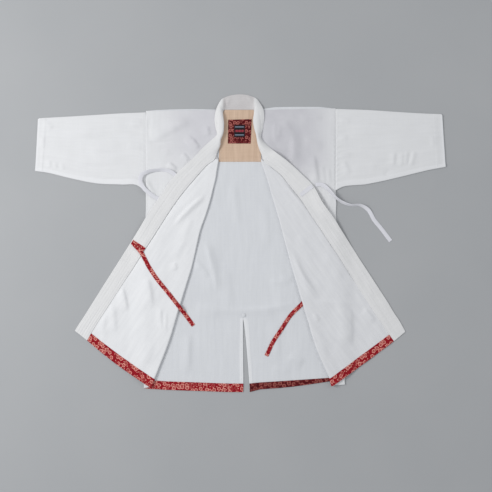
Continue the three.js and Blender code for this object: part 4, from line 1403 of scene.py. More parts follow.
@dataclass
class Front:
    """A front: one sheet, turned back on itself along its fold, with the trim inside its hem.

    Attributes:
        side: Which front.
        step: Between two rows of points.
        shoulder_step: The same beside the armhole.
        lower_columns: Columns of the lower layer.
        turn_columns: Columns round the fold.
        flap_columns: Columns of what is turned back.
        neck_clear: How far the front keeps from the band's sewn edge at the neck.
        end_clear: How far what is turned back keeps from it.
        cut: Width and length of the cut cloth, in metres.
    """

    side: Side
    step: float = 3.9
    shoulder_step: float = 2.4
    lower_columns: int = 62
    turn_columns: int = 9
    flap_columns: int = 62
    neck_clear: float = BAND
    end_clear: float = 1.5 * SEAM
    cut: tuple[float, float] = (0.44, 0.90)

    def __post_init__(self) -> None:
        """Work out the rows of the fold, and the two patches from them."""
        rows = FRONT_ROWS[self.side]
        self.places, self.stations = spaced(rows["foldX foldY"], self.step)
        fold, turn, self.seam, self.free, bow = (
            through(rows[names], self.places, self.stations)
            for names in ("foldX foldY", "turn", "seamX seamY", "freeX freeY", "bow"))
        self.turn, self.bow = turn[:, None], bow[:, None]
        self.ahead = unit(np.gradient(fold, self.stations, axis=0))
        self.outward = self.side.inward * leftward(self.ahead)
        self.centre = fold - self.outward * (self.turn + CLOTH / 2)
        self.outer = straight(rows["outerX outerY"], self.places, self.stations)
        self.lower = self.lower_patch()
        self.upper = self.upper_patch()

    def lower_patch(self) -> Patch:
        """The layer that lies on the back, from the shoulder to the hem.

        Returns:
            The patch, a row for each station.
        """
        table = SHOULDER_ROWS[self.side]
        aside = np.array([self.side.inward * self.neck_clear, 0.0])
        inner = np.concatenate([table["innerX innerY"] - aside, self.centre[:1]])
        outer = np.concatenate([table["outerX outerY"], self.outer[:1]])
        places, stations = spaced(inner, self.shoulder_step)
        inside = np.concatenate([through(inner, places, stations)[:-1], self.centre])[:, None]
        outside = np.concatenate([straight(outer, places, stations)[:-1], self.outer])[:, None]
        flat = lerp(outside, inside, np.linspace(0, 1, self.lower_columns + 1)[None, :, None])
        height = lower_level(self.side, flat[..., 0], flat[..., 1])
        return Patch(np.dstack([flat, height]), flat)

    def upper_patch(self) -> Patch:
        """The turn and what is turned back, as far as the band.

        Returns:
            The patch, whose first column is the lower layer's last.
        """
        first = self.lower.points[-len(self.stations):, -1:]
        low, high = first[..., 2], FRONT_LEVEL + 2 * self.turn
        radius = (high - low) / 2
        angle = np.linspace(-math.pi / 2, math.pi / 2, self.turn_columns + 1)[None, 1:-1]
        turned = self.centre[:, None] + self.outward[:, None] * (self.turn * np.cos(angle))[..., None]
        turn_points = np.dstack([turned, low + radius + radius * np.sin(angle)])
        end = self.seam + unit(self.seam - self.free) * self.end_clear
        share = np.linspace(0, 1, self.flap_columns + 1)[None, :]
        flat = lerp(self.centre[:, None], end[:, None], share[..., None])
        flat = flat + self.ahead[:, None] * (self.bow * np.sin(math.pi * share))[..., None]
        reach = np.linalg.norm(end - self.centre, axis=1)[:, None]
        height = self.flap_height(flat, share, reach, high)
        height[:, 0] = high[:, 0]
        points = np.concatenate([first, turn_points, np.dstack([flat, height])], axis=1)
        return Patch(points, self.turned_cut(flat, turn_points.shape[1]))

    def flap_height(self, flat: Array, share: Array, reach: Array, high: Array) -> Array:
        """How high the middle of what is turned back lies.

        Args:
            flat: Where its points lie, from above.
            share: How far each column is from the fold to the band's sewn edge.
            reach: How far that is at each row.
            high: The middle's height at the fold.

        Returns:
            The height at each point.
        """
        x, y = flat[..., 0], flat[..., 1]
        from_fold, from_seam = share * reach, (1 - share) * reach
        rest = flap_underside(self.side, x, y) + CLOTH / 2
        loose = smooth(0, 25, from_fold) * smooth(0, 14, from_seam)
        lift = relief(f"{self.side.value}_flap", x, y) + 1.3 * unevenness(x, y, 1.3 * self.side.inward)
        wave = np.sin(self.stations[:, None] / 2.7 + 2 * unevenness(x, y, 2.0))
        pucker = 0.3 * wave * np.exp(-from_seam / 7)
        dip = 1.5 * (1 - smooth(0, 5, from_seam))
        settle = (1 - smooth(0, TURN_REACH, from_fold)) * (1 - share)
        return np.maximum(rest + loose * lift + pucker - dip + settle * (high - rest), CLOTH / 2)

    def turned_cut(self, flat: Array, turns: int) -> Array:
        """Where the turn and the turned part lie in the cut.

        Args:
            flat: Where the turned part's points lie, from above.
            turns: How many columns the turn has.

        Returns:
            The places, mirrored on the fold line and moved on by the turn's own length.
        """
        start = self.centre[0]
        sideways = leftward(unit(self.centre[-1] - start)) * self.side.inward
        away = (flat - start) @ sideways
        mirrored = flat + (math.pi * float(self.turn.mean()) - 2 * away)[..., None] * sideways
        inner = self.lower.cut[-len(self.stations):, -1:]
        shares = np.linspace(0, 1, turns + 2)[None, 1:-1, None]
        return np.concatenate([inner, lerp(inner, mirrored[:, :1], shares), mirrored], axis=1)

    def trim_patch(self) -> Patch:
        """The strip of print inside the hem.

        Returns:
            The patch, on the upper face of what is turned back.
        """
        start = int(np.searchsorted(self.stations, self.places[-2] - 1e-6))
        points = self.upper.points[start:, self.turn_columns // 2 + 1:]
        down = self.stations[start:] - self.stations[start]
        return Patch(points + grid_normals(points) * ON_CLOTH, grid(way_along(points[0]), -down), FACING)

    def wall(self) -> Wall:
        """The front as one wall, wound so that the lower layer faces up.

        Returns:
            The wall.
        """
        patches = [self.lower, self.upper]
        if self.side is Side.RIGHT:
            patches = [Patch(p.points[:, ::-1], p.cut[:, ::-1]) for p in patches]
        return Wall(f"front_{self.side.value}", patches)

    def build(self, room: Workroom) -> Wall:
        """Make and dress the front and its trim.

        Args:
            room: The materials and the threads.

        Returns:
            The front's wall.
        """
        name = self.side.value
        wall = self.wall()
        # The outer face's finish carries painted shade towards the shoulder. The inside's is painted lighter
        # on the left and darker on the right, as painted light and shade.
        finishes = (f"front_{name}", f"inside_{name}")
        room.cloth(wall, Slot.OUTSIDE, finishes, self.cut, ["back_cloth"], "folded")
        trim = self.trim_patch()
        size = np.ptp(trim.cut, axis=(0, 1)) * MM
        room.cloth(Wall(f"hem_trim_front_{name}", [trim]), Slot.PRINT, ["printed"], size, [wall.name])
        for row in (1, -2):
            room.red.along(trim.over()[row, 1:])
        room.white.along(self.lower.over()[8:, 1])
        return wall


@dataclass
class Sleeve:
    """A sleeve: one flat tube, folded along its top edge, with a turned cuff.

    Attributes:
        side: Which sleeve.
        step: Between two rings of points.
        across: Columns of each of its two walls.
        turns: Columns round each of its folded edges.
        hem: Height of the cuff's turned hem.
        hem_thickness: How much thicker the cloth is there.
        edge: Width of the thick turned edge at the cuff.
        fall: How far the cloth comes down over the hem.
        felled: Width of the flat seam along the underside, at the armhole and at the cuff.
        width: Its usual width, by which what it carries fades out towards its two edges.
        fade: How far from an edge that starts.
        corner: Rounding of the cuff's upper corner.
        cut: Width and length of the cut cloth, in metres.
    """

    side: Side
    step: float = 3.8
    across: int = 100
    turns: int = 8
    hem: float = 28
    hem_thickness: float = 0.5
    edge: float = 6.5
    fall: float = 1.8
    felled: tuple[float, float] = (17, 8)
    width: float = 200
    fade: float = 12
    corner: float = 6
    cut: tuple[float, float] = (0.52, 0.35)

    def patch(self) -> Patch:
        """The tube's rings, from the armhole to the cuff.

        Returns:
            The patch, whose last column is its first one again.
        """
        table = SLEEVE_ROWS[self.side]
        places, stations = spaced(table["topX topY"], self.step)
        edge_line, under = (
            through(table[names], places, stations) for names in ("topX topY", "underX underY"))
        end = (FRONT_LEVEL - BACK_LEVEL) / 2
        middle = (FRONT_LEVEL + BACK_LEVEL) / 2
        up = unit(edge_line - under)
        top = edge_line - up * (end + CLOTH / 2)
        under = under + up * (end + CLOTH / 2)
        from_cuff = (stations[-1] - stations)[:, None]
        arcs = []
        for centre, start in ((top, -math.pi / 2), (under, math.pi / 2)):
            angle = start + np.linspace(0, math.pi, self.turns + 1)[None, :]
            flat = centre[:, None] + up[:, None] * (end * np.cos(angle))[..., None]
            height = np.broadcast_to(middle + end * np.sin(angle), flat.shape[:2])
            arcs.append(np.dstack([flat, height]))
        share = np.linspace(0, 1, self.across + 1)[None, 1:-1]
        from_under = (1 - share) * np.linalg.norm(top - under, axis=1)[:, None]
        seam_width = lerp(*self.felled, stations / stations[-1])[:, None]
        felled = smooth(seam_width + 1.2, seam_width - 1.2, from_under)
        upper = lerp(top[:, None], under[:, None], share[..., None])
        raised = 0.4 * felled * smooth(0, 3, from_under)
        level = self.level(upper[..., 0], upper[..., 1], share, from_cuff, raised)
        lower = lerp(under[:, None], top[:, None], share[..., None])
        floor = np.full(lower.shape[:2], BACK_LEVEL)
        points = np.concatenate([
            arcs[0], np.dstack([upper, level]), arcs[1], np.dstack([lower, floor]), arcs[0][:, :1]], axis=1)
        cut = grid(way_along(points[0]), stations)
        added = self.hem_thickness * smooth(self.hem + 1, self.hem - 1, from_cuff)
        points[..., 2] += added / 2
        from_top = ((edge_line[:, None] - points[..., :2]) * up[:, None]).sum(axis=2)
        rounding = 1 - np.sqrt(1 - np.clip(1 - from_top / self.corner, 0, 1) ** 2)
        points[..., 0] += self.side.inward * self.corner * rounding * smooth(3 * self.corner, 0, from_cuff)
        doubled = np.zeros(points.shape[:2])
        first = self.turns + 1
        doubled[:, first: first + felled.shape[1]] = felled
        doubled[:, first + felled.shape[1]: 2 * first + felled.shape[1]] = 1
        doubled = np.maximum(0.8 * doubled, smooth(self.edge + 0.8, self.edge - 0.8, from_cuff))
        return Patch(points, cut, np.broadcast_to(CLOTH + added, points.shape[:2]), doubled)

    def level(self, x: Array, y: Array, share: Array, from_cuff: Array, raised: Array) -> Array:
        """How high the upper wall lies.

        Args:
            x: Where, across.
            y: Where, up the body.
            share: How far each column is from the top edge to the underside.
            from_cuff: How far each ring is from the cuff.
            raised: How far the felled seam stands up.

        Returns:
            The middle's height at each point.
        """
        from_hole = np.abs(x) - np.abs(SLEEVE_ROWS[self.side]["topX"][0])
        inside = smooth(0, self.fade, (1 - share) * self.width) * smooth(0, self.fade, share * self.width)
        ends = smooth(0, 24, from_hole) * inside
        lift = relief(f"{self.side.value}_sleeve", x, y) + 0.9 * unevenness(x, y, 2.1 * self.side.inward)
        seam = seam_dip(from_hole) - seam_pucker(self.side, y, from_hole) * inside
        fall = self.fall * smooth(self.hem, 0.3 * self.hem, from_cuff) * inside
        hem_line = 0.5 * np.exp(-((from_cuff - self.hem) / 2.5) ** 2)
        return FRONT_LEVEL + ends * lift - seam + raised - fall - hem_line

    def build(self, room: Workroom) -> Wall:
        """Make and dress the sleeve.

        Args:
            room: The materials and the threads.

        Returns:
            The sleeve's wall.
        """
        patch = self.patch()
        wall = Wall(f"sleeve_{self.side.value}", [patch])
        room.cloth(wall, Slot.OUTSIDE, ["outside"], self.cut)
        over = patch.over()
        for row in (len(over) - 1 - round(self.hem / self.step), 2):
            room.white.along(over[row, self.turns + 2: self.turns + self.across - 1])
        return wall


@dataclass
class Back:
    """The back: one width of cloth with a vent up its middle, and the trims inside its hem.

    Attributes:
        step: Between two points, both ways.
        vent_column: The column of the edge table that the vent splits.
        vent_x: Where the vent starts, across.
        vent_apex: Where it starts, up the body.
        vent_left: Where its left edge ends at the hem.
        vent_right: Where its right edge ends at the hem.
        vent_curve: How soon it opens, below one for early.
        vent_hem: Width of the turned edge on each side of it.
        vent_sewn: How far up the back that edge's stitches run, as a share of the rows.
        hem_thickness: How much thicker the cloth is there.
        tack: Width of the patch that is sewn over it.
        cut: Width and length of the cut cloth, in metres.
    """

    step: float = 4.2
    vent_column: int = 7
    vent_x: float = 9.5
    vent_apex: float = -234
    vent_left: float = 8
    vent_right: float = 29.5
    vent_curve: float = 0.62
    vent_hem: float = 10
    vent_sewn: float = 0.26
    hem_thickness: float = 0.7
    tack: float = 11
    cut: tuple[float, float] = (0.63, 0.885)

    def share(self, columns: Array, x_name: str) -> Array:
        """How far across the back each column is, from its left side to its right."""
        edge = BACK_EDGES[x_name]
        return np.interp(columns, np.arange(len(edge)), (edge - edge[0]) / (edge[-1] - edge[0]))

    def half(self, columns: Array, opened: float) -> Patch:
        """One half of the back.

        Args:
            columns: The half's columns, numbered as in the edge table.
            opened: Where the vent's edge ends at the hem.

        Returns:
            The half as a patch, from the hem up.
        """
        numbers = np.arange(len(BACK_EDGES.rows))
        hem, top, trim = (
            np.interp(columns, numbers, BACK_EDGES[name])[None, :] for name in ("hemY", "topY", "trim"))
        mark = HEM_TRIM / BACK_LENGTH
        apex = (self.vent_apex - BACK_EDGES["hemY"][self.vent_column]) / BACK_LENGTH
        marks = np.array([0, mark, apex, 1])[:, None] * BACK_LENGTH
        self.stations = spaced(marks, self.step)[1] / BACK_LENGTH
        self.trim_rows = int(np.argmin(np.abs(self.stations - mark))) + 1
        station = self.stations[:, None]
        above = (station - mark) / (1 - mark)
        y = np.where(above < 0, hem + trim * station / mark, lerp(hem + trim, top, above))
        share = lerp(self.share(columns, "hemX")[None, :], self.share(columns, "topX")[None, :], station)
        x = lerp(-side_reach(Side.LEFT, y), side_reach(Side.RIGHT, y), share)
        near = 1 - np.clip(np.abs(columns - self.vent_column), 0, 1)[None, :]
        open_share = np.maximum((apex - station) / apex, 0) ** self.vent_curve
        x = x + (opened - self.vent_x) * open_share * near
        height, hemmed = self.height(x, y, station, open_share)
        points = np.dstack([x, y, height])
        return Patch(points, np.dstack([x, y]), CLOTH + hemmed, hemmed / self.hem_thickness)

    def height(self, x: Array, y: Array, station: Array, open_share: Array) -> tuple[Array, Array]:
        """How high the back lies, and how much thicker it is beside the vent.

        Args:
            x: Where, across.
            y: Where, up the body.
            station: How far up from the hem, as a share.
            open_share: How far the vent has opened at each row, as a share.

        Returns:
            The middle's height and the added thickness.
        """
        free = smooth(0, 0.12, station) * smooth(0, 0.2, 1 - station)
        reach = np.where(x < 0, side_reach(Side.LEFT, y), side_reach(Side.RIGHT, y))
        free = free * smooth(0, 45, reach - np.abs(x))
        lift = np.maximum(relief("back", x, y) + 0.7 * unevenness(x, y, 0.2), 0)
        left, right = (
            np.interp(y, FRONT_ROWS[side]["foldY"][::-1], FRONT_ROWS[side]["foldX"][::-1]) for side in Side)
        inside = np.minimum(x - left, right - x)
        lift = np.minimum(lift, 1.4 + 8 * smooth(0, 30, inside))
        left, right = (lerp(self.vent_x, end, open_share) for end in (self.vent_left, self.vent_right))
        edge_x = np.where(x < self.vent_x, left, right)
        strip = smooth(self.vent_hem + 1.2, self.vent_hem - 1.2, np.abs(x - edge_x)) * (open_share > 0)
        hemmed = self.hem_thickness * strip * smooth(0, 0.1, open_share) * smooth(0.02, 0.04, station)
        return BACK_LEVEL + free * lift + hemmed / 2, hemmed

    def build(self, room: Workroom) -> Wall:
        """Make and dress the back, its two trims and the patch at the top of the vent.

        Args:
            room: The materials and the threads.

        Returns:
            The back's wall.
        """
        marks = BACK_EDGES["topX"] - BACK_EDGES["topX"][0]
        places, stations = spaced(marks[:, None], self.step)
        numbers = np.interp(stations, places, np.arange(len(marks)))
        left = self.half(numbers[numbers <= self.vent_column + 1e-9], self.vent_left)
        right = self.half(numbers[numbers >= self.vent_column - 1e-9], self.vent_right)
        # The back's right trim takes the print with painted shade.
        halves = ((Side.LEFT, left, "printed", -3), (Side.RIGHT, right, "deep", 2))
        wall = Wall("back", [
            Patch(p.points[::-1], p.cut[::-1], p.thickness[::-1], p.doubled[::-1]) for _, p, _, _ in halves])
        room.cloth(wall, Slot.INSIDE, ["back"], self.cut)
        split = int(len(self.stations) * self.vent_sewn)
        for side, patch, finish, column in halves:
            self.trim(side, patch, finish, room)
            room.white.along(patch.over()[self.trim_rows: split, column])
        tack = self.tack_patch(wall.tree())
        size = (self.tack * MM, self.tack * MM)
        room.cloth(Wall("vent_tack", [tack]), Slot.INSIDE, ["back"], size, [wall.name], solid=False)
        room.white.along(tack.ring())
        return wall

    def tack_patch(self, under: BVHTree) -> Patch:
        """The small rounded patch that is sewn over the top of the vent.

        Args:
            under: The back that it lies on.

        Returns:
            The patch, from its top down.
        """
        columns, rounding, above = 13, 0.35, 3
        share = np.linspace(-1, 1, columns)
        u, v = np.meshgrid(share, -share)
        x = self.vent_x + self.tack / 2 * u * np.sqrt(1 - rounding * v * v)
        y = self.vent_apex + above + self.tack / 2 * (1 + v * np.sqrt(1 - rounding * u * u))
        rest = np.nanmax([below(under, a, b) for a, b in zip(x.ravel(), y.ravel())]) + 0.15
        height = rest + SEAM + FACING / 2 + 0.3 * (1 - u * u) * (1 - v * v)
        return Patch(np.dstack([x, y, height]), np.dstack([x, y]), FACING)

    def trim(self, side: Side, patch: Patch, finish: str, room: Workroom) -> None:
        """Make and dress the strip of print on one side of the vent.

        Args:
            side: Which side.
            patch: The back's half there.
            finish: The strip's finish.
            room: The materials and the threads.
        """
        rows = patch.points[:self.trim_rows]
        strip = Patch(rows + grid_normals(rows) * ON_CLOTH, patch.cut[:self.trim_rows], FACING)
        wall = Wall(f"hem_trim_back_{side.value}", [Patch(strip.points[::-1], strip.cut[::-1], FACING)])
        size = (float(way_along(strip.points[0])[-1]) * MM, HEM_TRIM * MM)
        room.cloth(wall, Slot.PRINT, [finish], size, ["back_cloth"])
        for row in (-2, 1):
            room.red.along(strip.over()[row])


@dataclass
class CollarBand:
    """The doubled band round the neck and down both fronts, with its rows of topstitching.

    Attributes:
        width: Its width.
        step: Between two sections.
        rows: Where the topstitching runs, from the sewn edge.
        groove: How far it sinks the cloth.
        rounding: How far the band's edges are rounded.
        columns: Columns across it.
        lean: How far the two middle knots of its roll lean in, for one of reach.
        pull: How high the second of them pulls, for one of rise.
        lifts: Where its free edge stands off the cloth: across, up the body, how far round and how high.
        cut: Length and width of the cut cloth, in metres.
    """

    width: float = 50
    step: float = 3.6
    rows: tuple[float, ...] = (4.5, 12.6, 20.5, 29.5, 38.5, 46.5)
    groove: float = 0.5
    rounding: float = 2.2
    columns: int = 32
    lean: tuple[float, float] = (2.1, 1.6)
    pull: float = 1.3
    lifts: tuple[tuple[float, float, float, float], ...] = ((262, 128, 50, 10.0), (124, 278, 42, 8.0))
    cut: tuple[float, float] = (1.86, 0.05)

    def across(self) -> Array:
        """Where each column lies from the sewn edge.

        Returns:
            The places, closer together at both edges.
        """
        even = np.linspace(0, self.width, self.columns + 1)
        extra = [0.4, 0.9, self.width - 0.9, self.width - 0.4]
        return np.unique(np.concatenate([even, extra]))

    def thickness(self, across: Array, stations: Array) -> Array:
        """How thick the band is at each point.

        Args:
            across: Where each column lies.
            stations: Where each section lies.

        Returns:
            The thicknesses, rounded off at the edges and pressed in unevenly along the stitching.
        """
        edge = np.minimum(across, self.width - across) / self.rounding
        rounded = 0.3 + 0.7 * np.sqrt(np.clip(1 - (1 - np.clip(edge, 0, 1)) ** 2, 0, 1))
        pressed = sum(np.exp(-(((across - row) / 1.3) ** 2)) for row in self.rows) * (edge > 0.5)
        way = np.broadcast_arrays(across[None, :], stations[:, None])
        tension = np.clip(0.75 + wander(*way, 90, (1.57, 55, 7, 1.6)), 0.15, 1.4)
        return BAND * rounded[None, :] - 2 * self.groove * pressed[None, :] * tension

    def patch(self) -> Patch:
        """The band's middle surface from the left hem round the neck to the right hem.

        Returns:
            The patch, a row for each section.
        """
        seam, free, roll, on_front = (np.concatenate(rows) for rows in zip(*(self.half(s) for s in Side)))
        places, stations = spaced((seam + free)[:, :2] / 2, self.step)
        seam, free, roll = (through(values, places, stations) for values in (seam, free, roll))
        flat_share = np.interp(stations, places, on_front)
        across = self.across()
        share = (across / self.width)[None, :, None]
        inward = unit((seam - free) * (1, 1, 0))
        roll = np.maximum(roll, 0)
        reach, rise = roll[:, :1], roll[:, 1:]
        first = lerp(seam, free, 1 / 3) + inward * self.lean[0] * reach
        second = lerp(seam, free, 2 / 3) + inward * self.lean[1] * reach
        first[:, 2:] += rise * smooth(3, 0, reach)
        second[:, 2:] += rise * self.pull
        weights = ((1 - share) ** 3, 3 * share * (1 - share) ** 2, 3 * share ** 2 * (1 - share), share ** 3)
        points = sum(weight * knot[:, None] for weight, knot in zip(weights, (seam, first, second, free)))
        x, y = points[..., 0], points[..., 1]
        left, right = (flap_underside(side, x, y) for side in Side)
        level = np.where(x < 0, left, right) + BAND / 2
        straight_level = lerp(level[:, :1], level[:, -1:], share[..., 0])
        points[..., 2] += np.where((flat_share > 0.999)[:, None], level - straight_level, 0)
        wave = 0.7 * unevenness(x * 1.6, y * 1.6, 0.9) * smooth(0.5, 1, flat_share)[:, None]
        pucker = 0.12 * np.sin(stations[:, None] / 1.9 + 2 * np.sin(stations[:, None] / 23))
        points[..., 2] += (wave + relief("band", x, y)) * smooth(0, 10, across)[None, :]
        points[..., 2] += pucker * smooth(0, 4, across)[None, :]
        for middle_x, middle_y, round_it, high in self.lifts:
            near = np.exp(-((x - middle_x) ** 2 + (y - middle_y) ** 2) / round_it ** 2)
            points[..., 2] += high * near * smooth(0.1, 1, share[..., 0]) * flat_share[:, None]
        thick = self.thickness(across, stations)
        points[..., 2] = np.maximum(points[..., 2], thick / 2)
        return Patch(points, grid(across, stations), thick)

    def half(self, side: Side) -> tuple[Array, ...]:
        """One half's rows, in the order in which the whole band runs.

        Args:
            side: Which half.

        Returns:
            Its sewn edge, its free edge, its roll and nought at the neck or one on the front.
        """
        neck, front = NECK_ROWS[side], FRONT_ROWS[side]
        edges = []
        for edge in ("seam", "free"):
            level = flap_underside(side, front[f"{edge}X"], front[f"{edge}Y"]) + BAND / 2
            on_front = np.column_stack([front[f"{edge}X {edge}Y"], level])
            edges.append(np.concatenate([neck[f"{edge}X {edge}Y {edge}Z"], on_front]))
        roll = np.concatenate([neck["reach rise"], np.zeros((len(front.rows), 2))])
        share = np.repeat([0.0, 1.0], [len(neck.rows), len(front.rows)])
        return tuple(rows[::-side.inward] for rows in (*edges, roll, share))

    def build(self, room: Workroom) -> Wall:
        """Make and dress the band.

        Args:
            room: The materials and the threads.

        Returns:
            The band's wall.
        """
        patch = self.patch()
        wall = Wall("collar_band", [patch], rim=0.15)
        under = ["front_left_cloth", "front_right_cloth"]
        room.cloth(wall, Slot.BAND, ["band"], self.cut, under, "folded")
        over, across = patch.over(-0.05), self.across()
        for row in self.rows:
            room.white.along(over[2:-2, int(np.argmin(np.abs(across - row)))])
        return wall


@dataclass
class NeckPieces:
    """The flat pieces inside the back of the neck: the facing, the square of print and the label.

    Attributes:
        facing_rows: The facing's left and right edge at heights down the back.
        hem: Width of the facing's turned edge.
        width: The facing's usual width.
        step: Between two points.
    """

    facing_rows: Table = field(default_factory=lambda: Table("y left right", [
        (419.3, -48, 38.5),
        (417, -51, 43),
        (408, -57, 48.2),
        (404, -57.6, 50),
        (380, -61, 56),
        (257, -68, 66),
    ]))
    print_corners: tuple[tuple[float, float], ...] = ((-38, 388), (35, 390), (32, 314), (-39, 314))
    label_corners: tuple[tuple[float, float], ...] = ((-20, 372), (14, 372), (14, 334), (-20, 334))
    hem: float = 5
    width: float = 130
    step: float = 2.4

    def facing(self) -> Patch:
        """The facing inside the back of the neck.

        Returns:
            The facing as a patch, from its top down.
        """
        rows = self.facing_rows
        y = spaced(rows["y"][::-1, None], self.step)[1] * -1 + rows["y"][0]
        order = slice(None, None, -1)
        left, right = (np.interp(y, rows["y"][order], rows[name][order]) for name in ("left", "right"))
        share = np.linspace(0, 1, round(self.width / self.step) + 1)[None, :]
        x = lerp(left[:, None], right[:, None], share)
        y = np.broadcast_to(y[:, None], x.shape)
        edge = np.minimum(np.minimum(x - left[:, None], right[:, None] - x), y - rows["y"][-1])
        turned = 0.5 * smooth(self.hem + 0.8, self.hem - 0.8, edge)
        lift = 0.5 * unevenness(1.8 * x, 1.1 * y, 0.6) * smooth(2, 14, edge) * smooth(0, 20, rows["y"][0] - y)
        on_print = smooth(-4, 4, np.abs(x + 3) - 40) + smooth(-4, 4, np.abs(y - 352) - 40)
        lift = lift * np.clip(on_print, 0, 1)
        level = CLOTH + SEAM + FACING / 2
        return Patch(np.dstack([x, y, level + lift + turned / 2]), np.dstack([x, y]), FACING + turned)

    def tile(self, corners: Sequence[tuple[float, float]], level: float, bulge: float) -> Patch:
        """A four-cornered piece.

        Args:
            corners: Its corners, from the top left clockwise.
            level: Height of its middle surface.
            bulge: How far its middle stands up.

        Returns:
            The piece as a patch, from its top down.
        """
        top_left, top_right, low_right, low_left = (np.array(corner, dtype=float) for corner in corners)
        count = round(np.linalg.norm(top_right - top_left) / self.step)
        share = np.linspace(0, 1, count + 1)
        top = lerp(top_left, top_right, share[:, None])[None]
        low = lerp(low_left, low_right, share[:, None])[None]
        flat = lerp(top, low, share[:, None, None])
        inside = np.minimum(share, 1 - share)
        rise = bulge * smooth(0, 0.12, inside)[None, :] * smooth(0, 0.12, inside)[:, None]
        rise = rise * (0.6 + 0.4 * unevenness(3 * flat[..., 0], 3 * flat[..., 1], 1.0))
        return Patch(np.dstack([flat, level + rise]), flat, FACING)

    def build(self, room: Workroom) -> None:
        """Make and dress the three pieces.

        Args:
            room: The materials and the threads.
        """
        on_facing = CLOTH + 2 * SEAM + 1.5 * FACING
        square = self.tile(self.print_corners, on_facing, bulge=0.25)
        label = self.tile(self.label_corners, on_facing + SEAM + FACING, bulge=0.15)
        parts = (
            ("neck_facing", self.facing(), Slot.BEIGE, "beige", "back_cloth"),
            ("print_square", square, Slot.PRINT, "square", "neck_facing_cloth"),
            ("label", label, Slot.LABEL, "label", "print_square_cloth"),
        )
        for solid, patch, slot, finish, under in parts:
            size = np.ptp(patch.points, axis=(0, 1))[:2] * MM
            room.cloth(Wall(solid, [patch]), slot, [finish], size, [under])
            if slot is not Slot.BEIGE:
                room.red.along(patch.ring())
                continue
            over, inset = patch.over(), round(self.hem / self.step)
            room.white.along(over[-1 - inset, inset:-inset])
            for column in (inset, -1 - inset):
                room.white.along(over[4:-inset, column])


class Tape(Enum):
    """The two tapes that the ties are made of: the slot and the finish of each."""

    RED = (Slot.PRINT, "printed")
    WHITE = (Slot.TAPE, "tape")


@dataclass
class Tie:
    """A flat tie that follows what it lies on.

    Attributes:
        name: The solid that it replaces.
        tape: What it is made of.
        far_end: What is at its far end, which is not used.
        loop: Where it stands off what it lies on, from and to a share of its length, and how far.
        step: Between two sections.
        columns: Points across it.
    """

    name: str
    tape: Tape
    far_end: str = "bare"
    loop: tuple[float, float, float] = (0.0, 1.0, 0.0)
    step: float = 3.5
    columns: int = 6

    def rest(self, carriers: Sequence[BVHTree], flat: Array, across: Array, ceiling: float) -> Array:
        """The height that the tie rests on.

        Args:
            carriers: What it may lie on.
            flat: The middle of each section.
            across: From there to its edge.
            ceiling: The height under which it stays.

        Returns:
            The highest point under each section.
        """
        spots = flat[:, None] + np.array([-1, -0.5, 0, 0.5, 1])[None, :, None] * across[:, None]
        hits = [[below(tree, x, y, ceiling) for tree in carriers for x, y in row] for row in spots]
        return np.nanmax([[0.0, *row] for row in hits], axis=1)

    def sections(self, carriers: Sequence[BVHTree], ceiling: float) -> tuple[Array, Array, Array]:
        """Where the tie runs.

        Args:
            carriers: What it may lie on.
            ceiling: The height under which it stays.

        Returns:
            The middle of each section, the direction across it and its tilt.
        """
        table = TIES[self.name]
        route = table["x y"]
        places, stations = spaced(route, self.step)
        flat = through(route, places, stations)
        tilt = np.radians(np.maximum(through(table["turn"], places, stations), 0))
        across = leftward(unit(np.gradient(flat, axis=0)))
        reach = TAPE_WIDTH / 2 * np.cos(tilt)
        under = self.rest(carriers, flat, across * reach[:, None], ceiling)
        highest = np.array([under[max(i - 2, 0): i + 3].max() for i in range(len(under))])
        for order in (slice(None), slice(None, None, -1)):
            heights = highest[order]
            lengths = np.linalg.norm(np.diff(flat[order], axis=0), axis=1)
            for i, length in enumerate(lengths, start=1):
                heights[i] = max(heights[i], heights[i - 1] - TAPE_SLOPE * length)
        padded = np.pad(highest, 2, mode="edge")
        softened = np.maximum(sum(padded[i: i + len(highest)] for i in range(5)) / 5, under)
        start, end, off = self.loop
        along = np.clip((stations / stations[-1] - start) / (end - start), 0, 1)
        stand = (TAPE * np.cos(tilt) + TAPE_WIDTH * np.sin(tilt)) / 2 + off * np.sin(math.pi * along) ** 2
        return np.column_stack([flat, softened + SEAM + stand]), across, tilt

    def build(self, room: Workroom, carriers: Sequence[BVHTree], ceiling: float = 100) -> None:
        """Args:
            room: The materials and the threads.
            carriers: What it may lie on.
            ceiling: The height under which it stays.
        """
        middle, across, tilt = self.sections(carriers, ceiling)
        share = np.linspace(-0.5, 0.5, self.columns)
        reach = share * TAPE_WIDTH
        curl = 0.25 * (1 - (2 * share) ** 2)[None, :]
        flat = middle[:, None, :2] + across[:, None] * (reach * np.cos(tilt)[:, None])[..., None]
        height = middle[:, None, 2] + reach * np.sin(tilt)[:, None] + curl
        along = way_along(middle)
        thick = TAPE * (0.6 + 0.4 * smooth(0, 0.2, 0.5 - np.abs(share)))
        patch = Patch(np.dstack([flat, height]), grid(reach, along), thick[None, :])
        slot, finish = self.tape.value
        wall = Wall(self.name, [patch], kind="tape")
        piece = dress(wall.make([room.finishes[finish]]), slot, self.name)
        tuple(middle[0] * MM)
        round(float(along[-1]) * MM, 4)


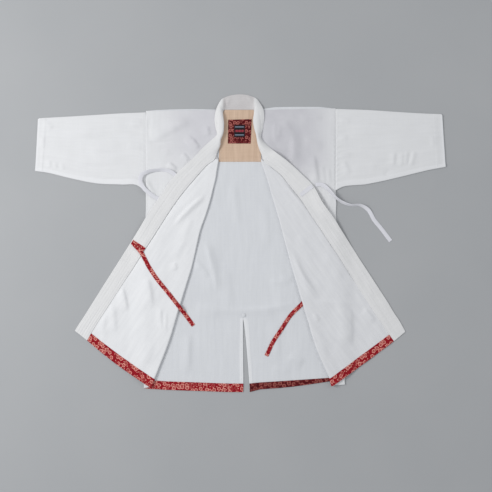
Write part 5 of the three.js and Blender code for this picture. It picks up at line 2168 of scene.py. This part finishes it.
@dataclass
class TieRoot:
    """The sewn end of a tie, flat across the inside of the band.

    Attributes:
        name: The solid that it replaces.
        tape: What it is made of.
        start: Where it starts.
        end: Where it ends.
        step: Between two points along it.
        columns: Points across it.
    """

    name: str
    tape: Tape
    start: tuple[float, float]
    end: tuple[float, float]
    step: float = 2.5
    columns: int = 6

    def build(self, room: Workroom, band: BVHTree) -> Wall:
        """Make the sewn end on the band.

        Args:
            room: The materials and the threads.
            band: The band that it is sewn to.

        Returns:
            Its wall.
        """
        start, end = np.array(self.start, dtype=float), np.array(self.end, dtype=float)
        length = float(np.linalg.norm(end - start))
        ahead = (end - start) / length
        along = np.linspace(0, length, round(length / self.step) + 1)
        across = np.linspace(-TAPE_WIDTH / 2, TAPE_WIDTH / 2, self.columns)
        flat = start + along[:, None, None] * ahead + across[None, :, None] * leftward(ahead)
        height = np.array([[below(band, x, y) for x, y in row] for row in flat])
        height = np.where(np.isnan(height), np.nanmedian(height), height) + SEAM + TAPE / 2
        patch = Patch(np.dstack([flat, height]), grid(across, along), TAPE)
        wall = Wall(self.name, [patch], kind="tape")
        slot, finish = self.tape.value
        room.cloth(wall, slot, [finish], (TAPE_WIDTH * MM, length * MM), ["collar_band_cloth"])
        over = patch.over()
        thread = room.red if self.tape is Tape.RED else room.white
        thread.along(np.concatenate([over[1:-1, 1], over[-2, 2:-1], over[-3:0:-1, -2], over[1, -3:0:-1]]))
        return wall


def main() -> None:
    """Build the jacket and what it lies on."""
    logging.basicConfig(level=logging.INFO, format="%(name)s: %(message)s")
    studio = Studio()
    studio.camera()
    room = Workroom(Finishes().make())
    fronts = {side: Front(side) for side in Side}
    back = Back().build(room).tree()
    front = {side: fronts[side].build(room).tree() for side in Side}
    sleeve = {side: Sleeve(side).build(room).tree() for side in Side}
    band = CollarBand().build(room).tree()
    on_band = TieRoot("tie_root_left", Tape.RED, (-301, -20), (-340, 5)).build(room, band).tree()
    TieRoot("tie_root_right", Tape.WHITE, (189, 151), (226, 180)).build(room, band)
    Tie("tie_red_left", Tape.RED).build(room, [back, front[Side.LEFT], band, on_band])
    Tie("tie_white_right", Tape.WHITE).build(room, [front[Side.RIGHT], sleeve[Side.RIGHT]])
    lower_left = Wall("lower_left", [fronts[Side.LEFT].lower]).tree()
    Tie("tie_white_left", Tape.WHITE, "object", (0.10, 0.64, 8.0)).build(
        room, [lower_left, sleeve[Side.LEFT]], FLAP_UNDERSIDE - SEAM / 2)
    Tie("tie_red_right", Tape.RED).build(room, [back])
    NeckPieces().build(room)
    dress(room.white.build(room.finishes["thread"]), Slot.OUTSIDE)
    dress(room.red.build(room.finishes["red_thread"]), Slot.PRINT)
    studio.build()


if __name__ == "__main__":
    main()
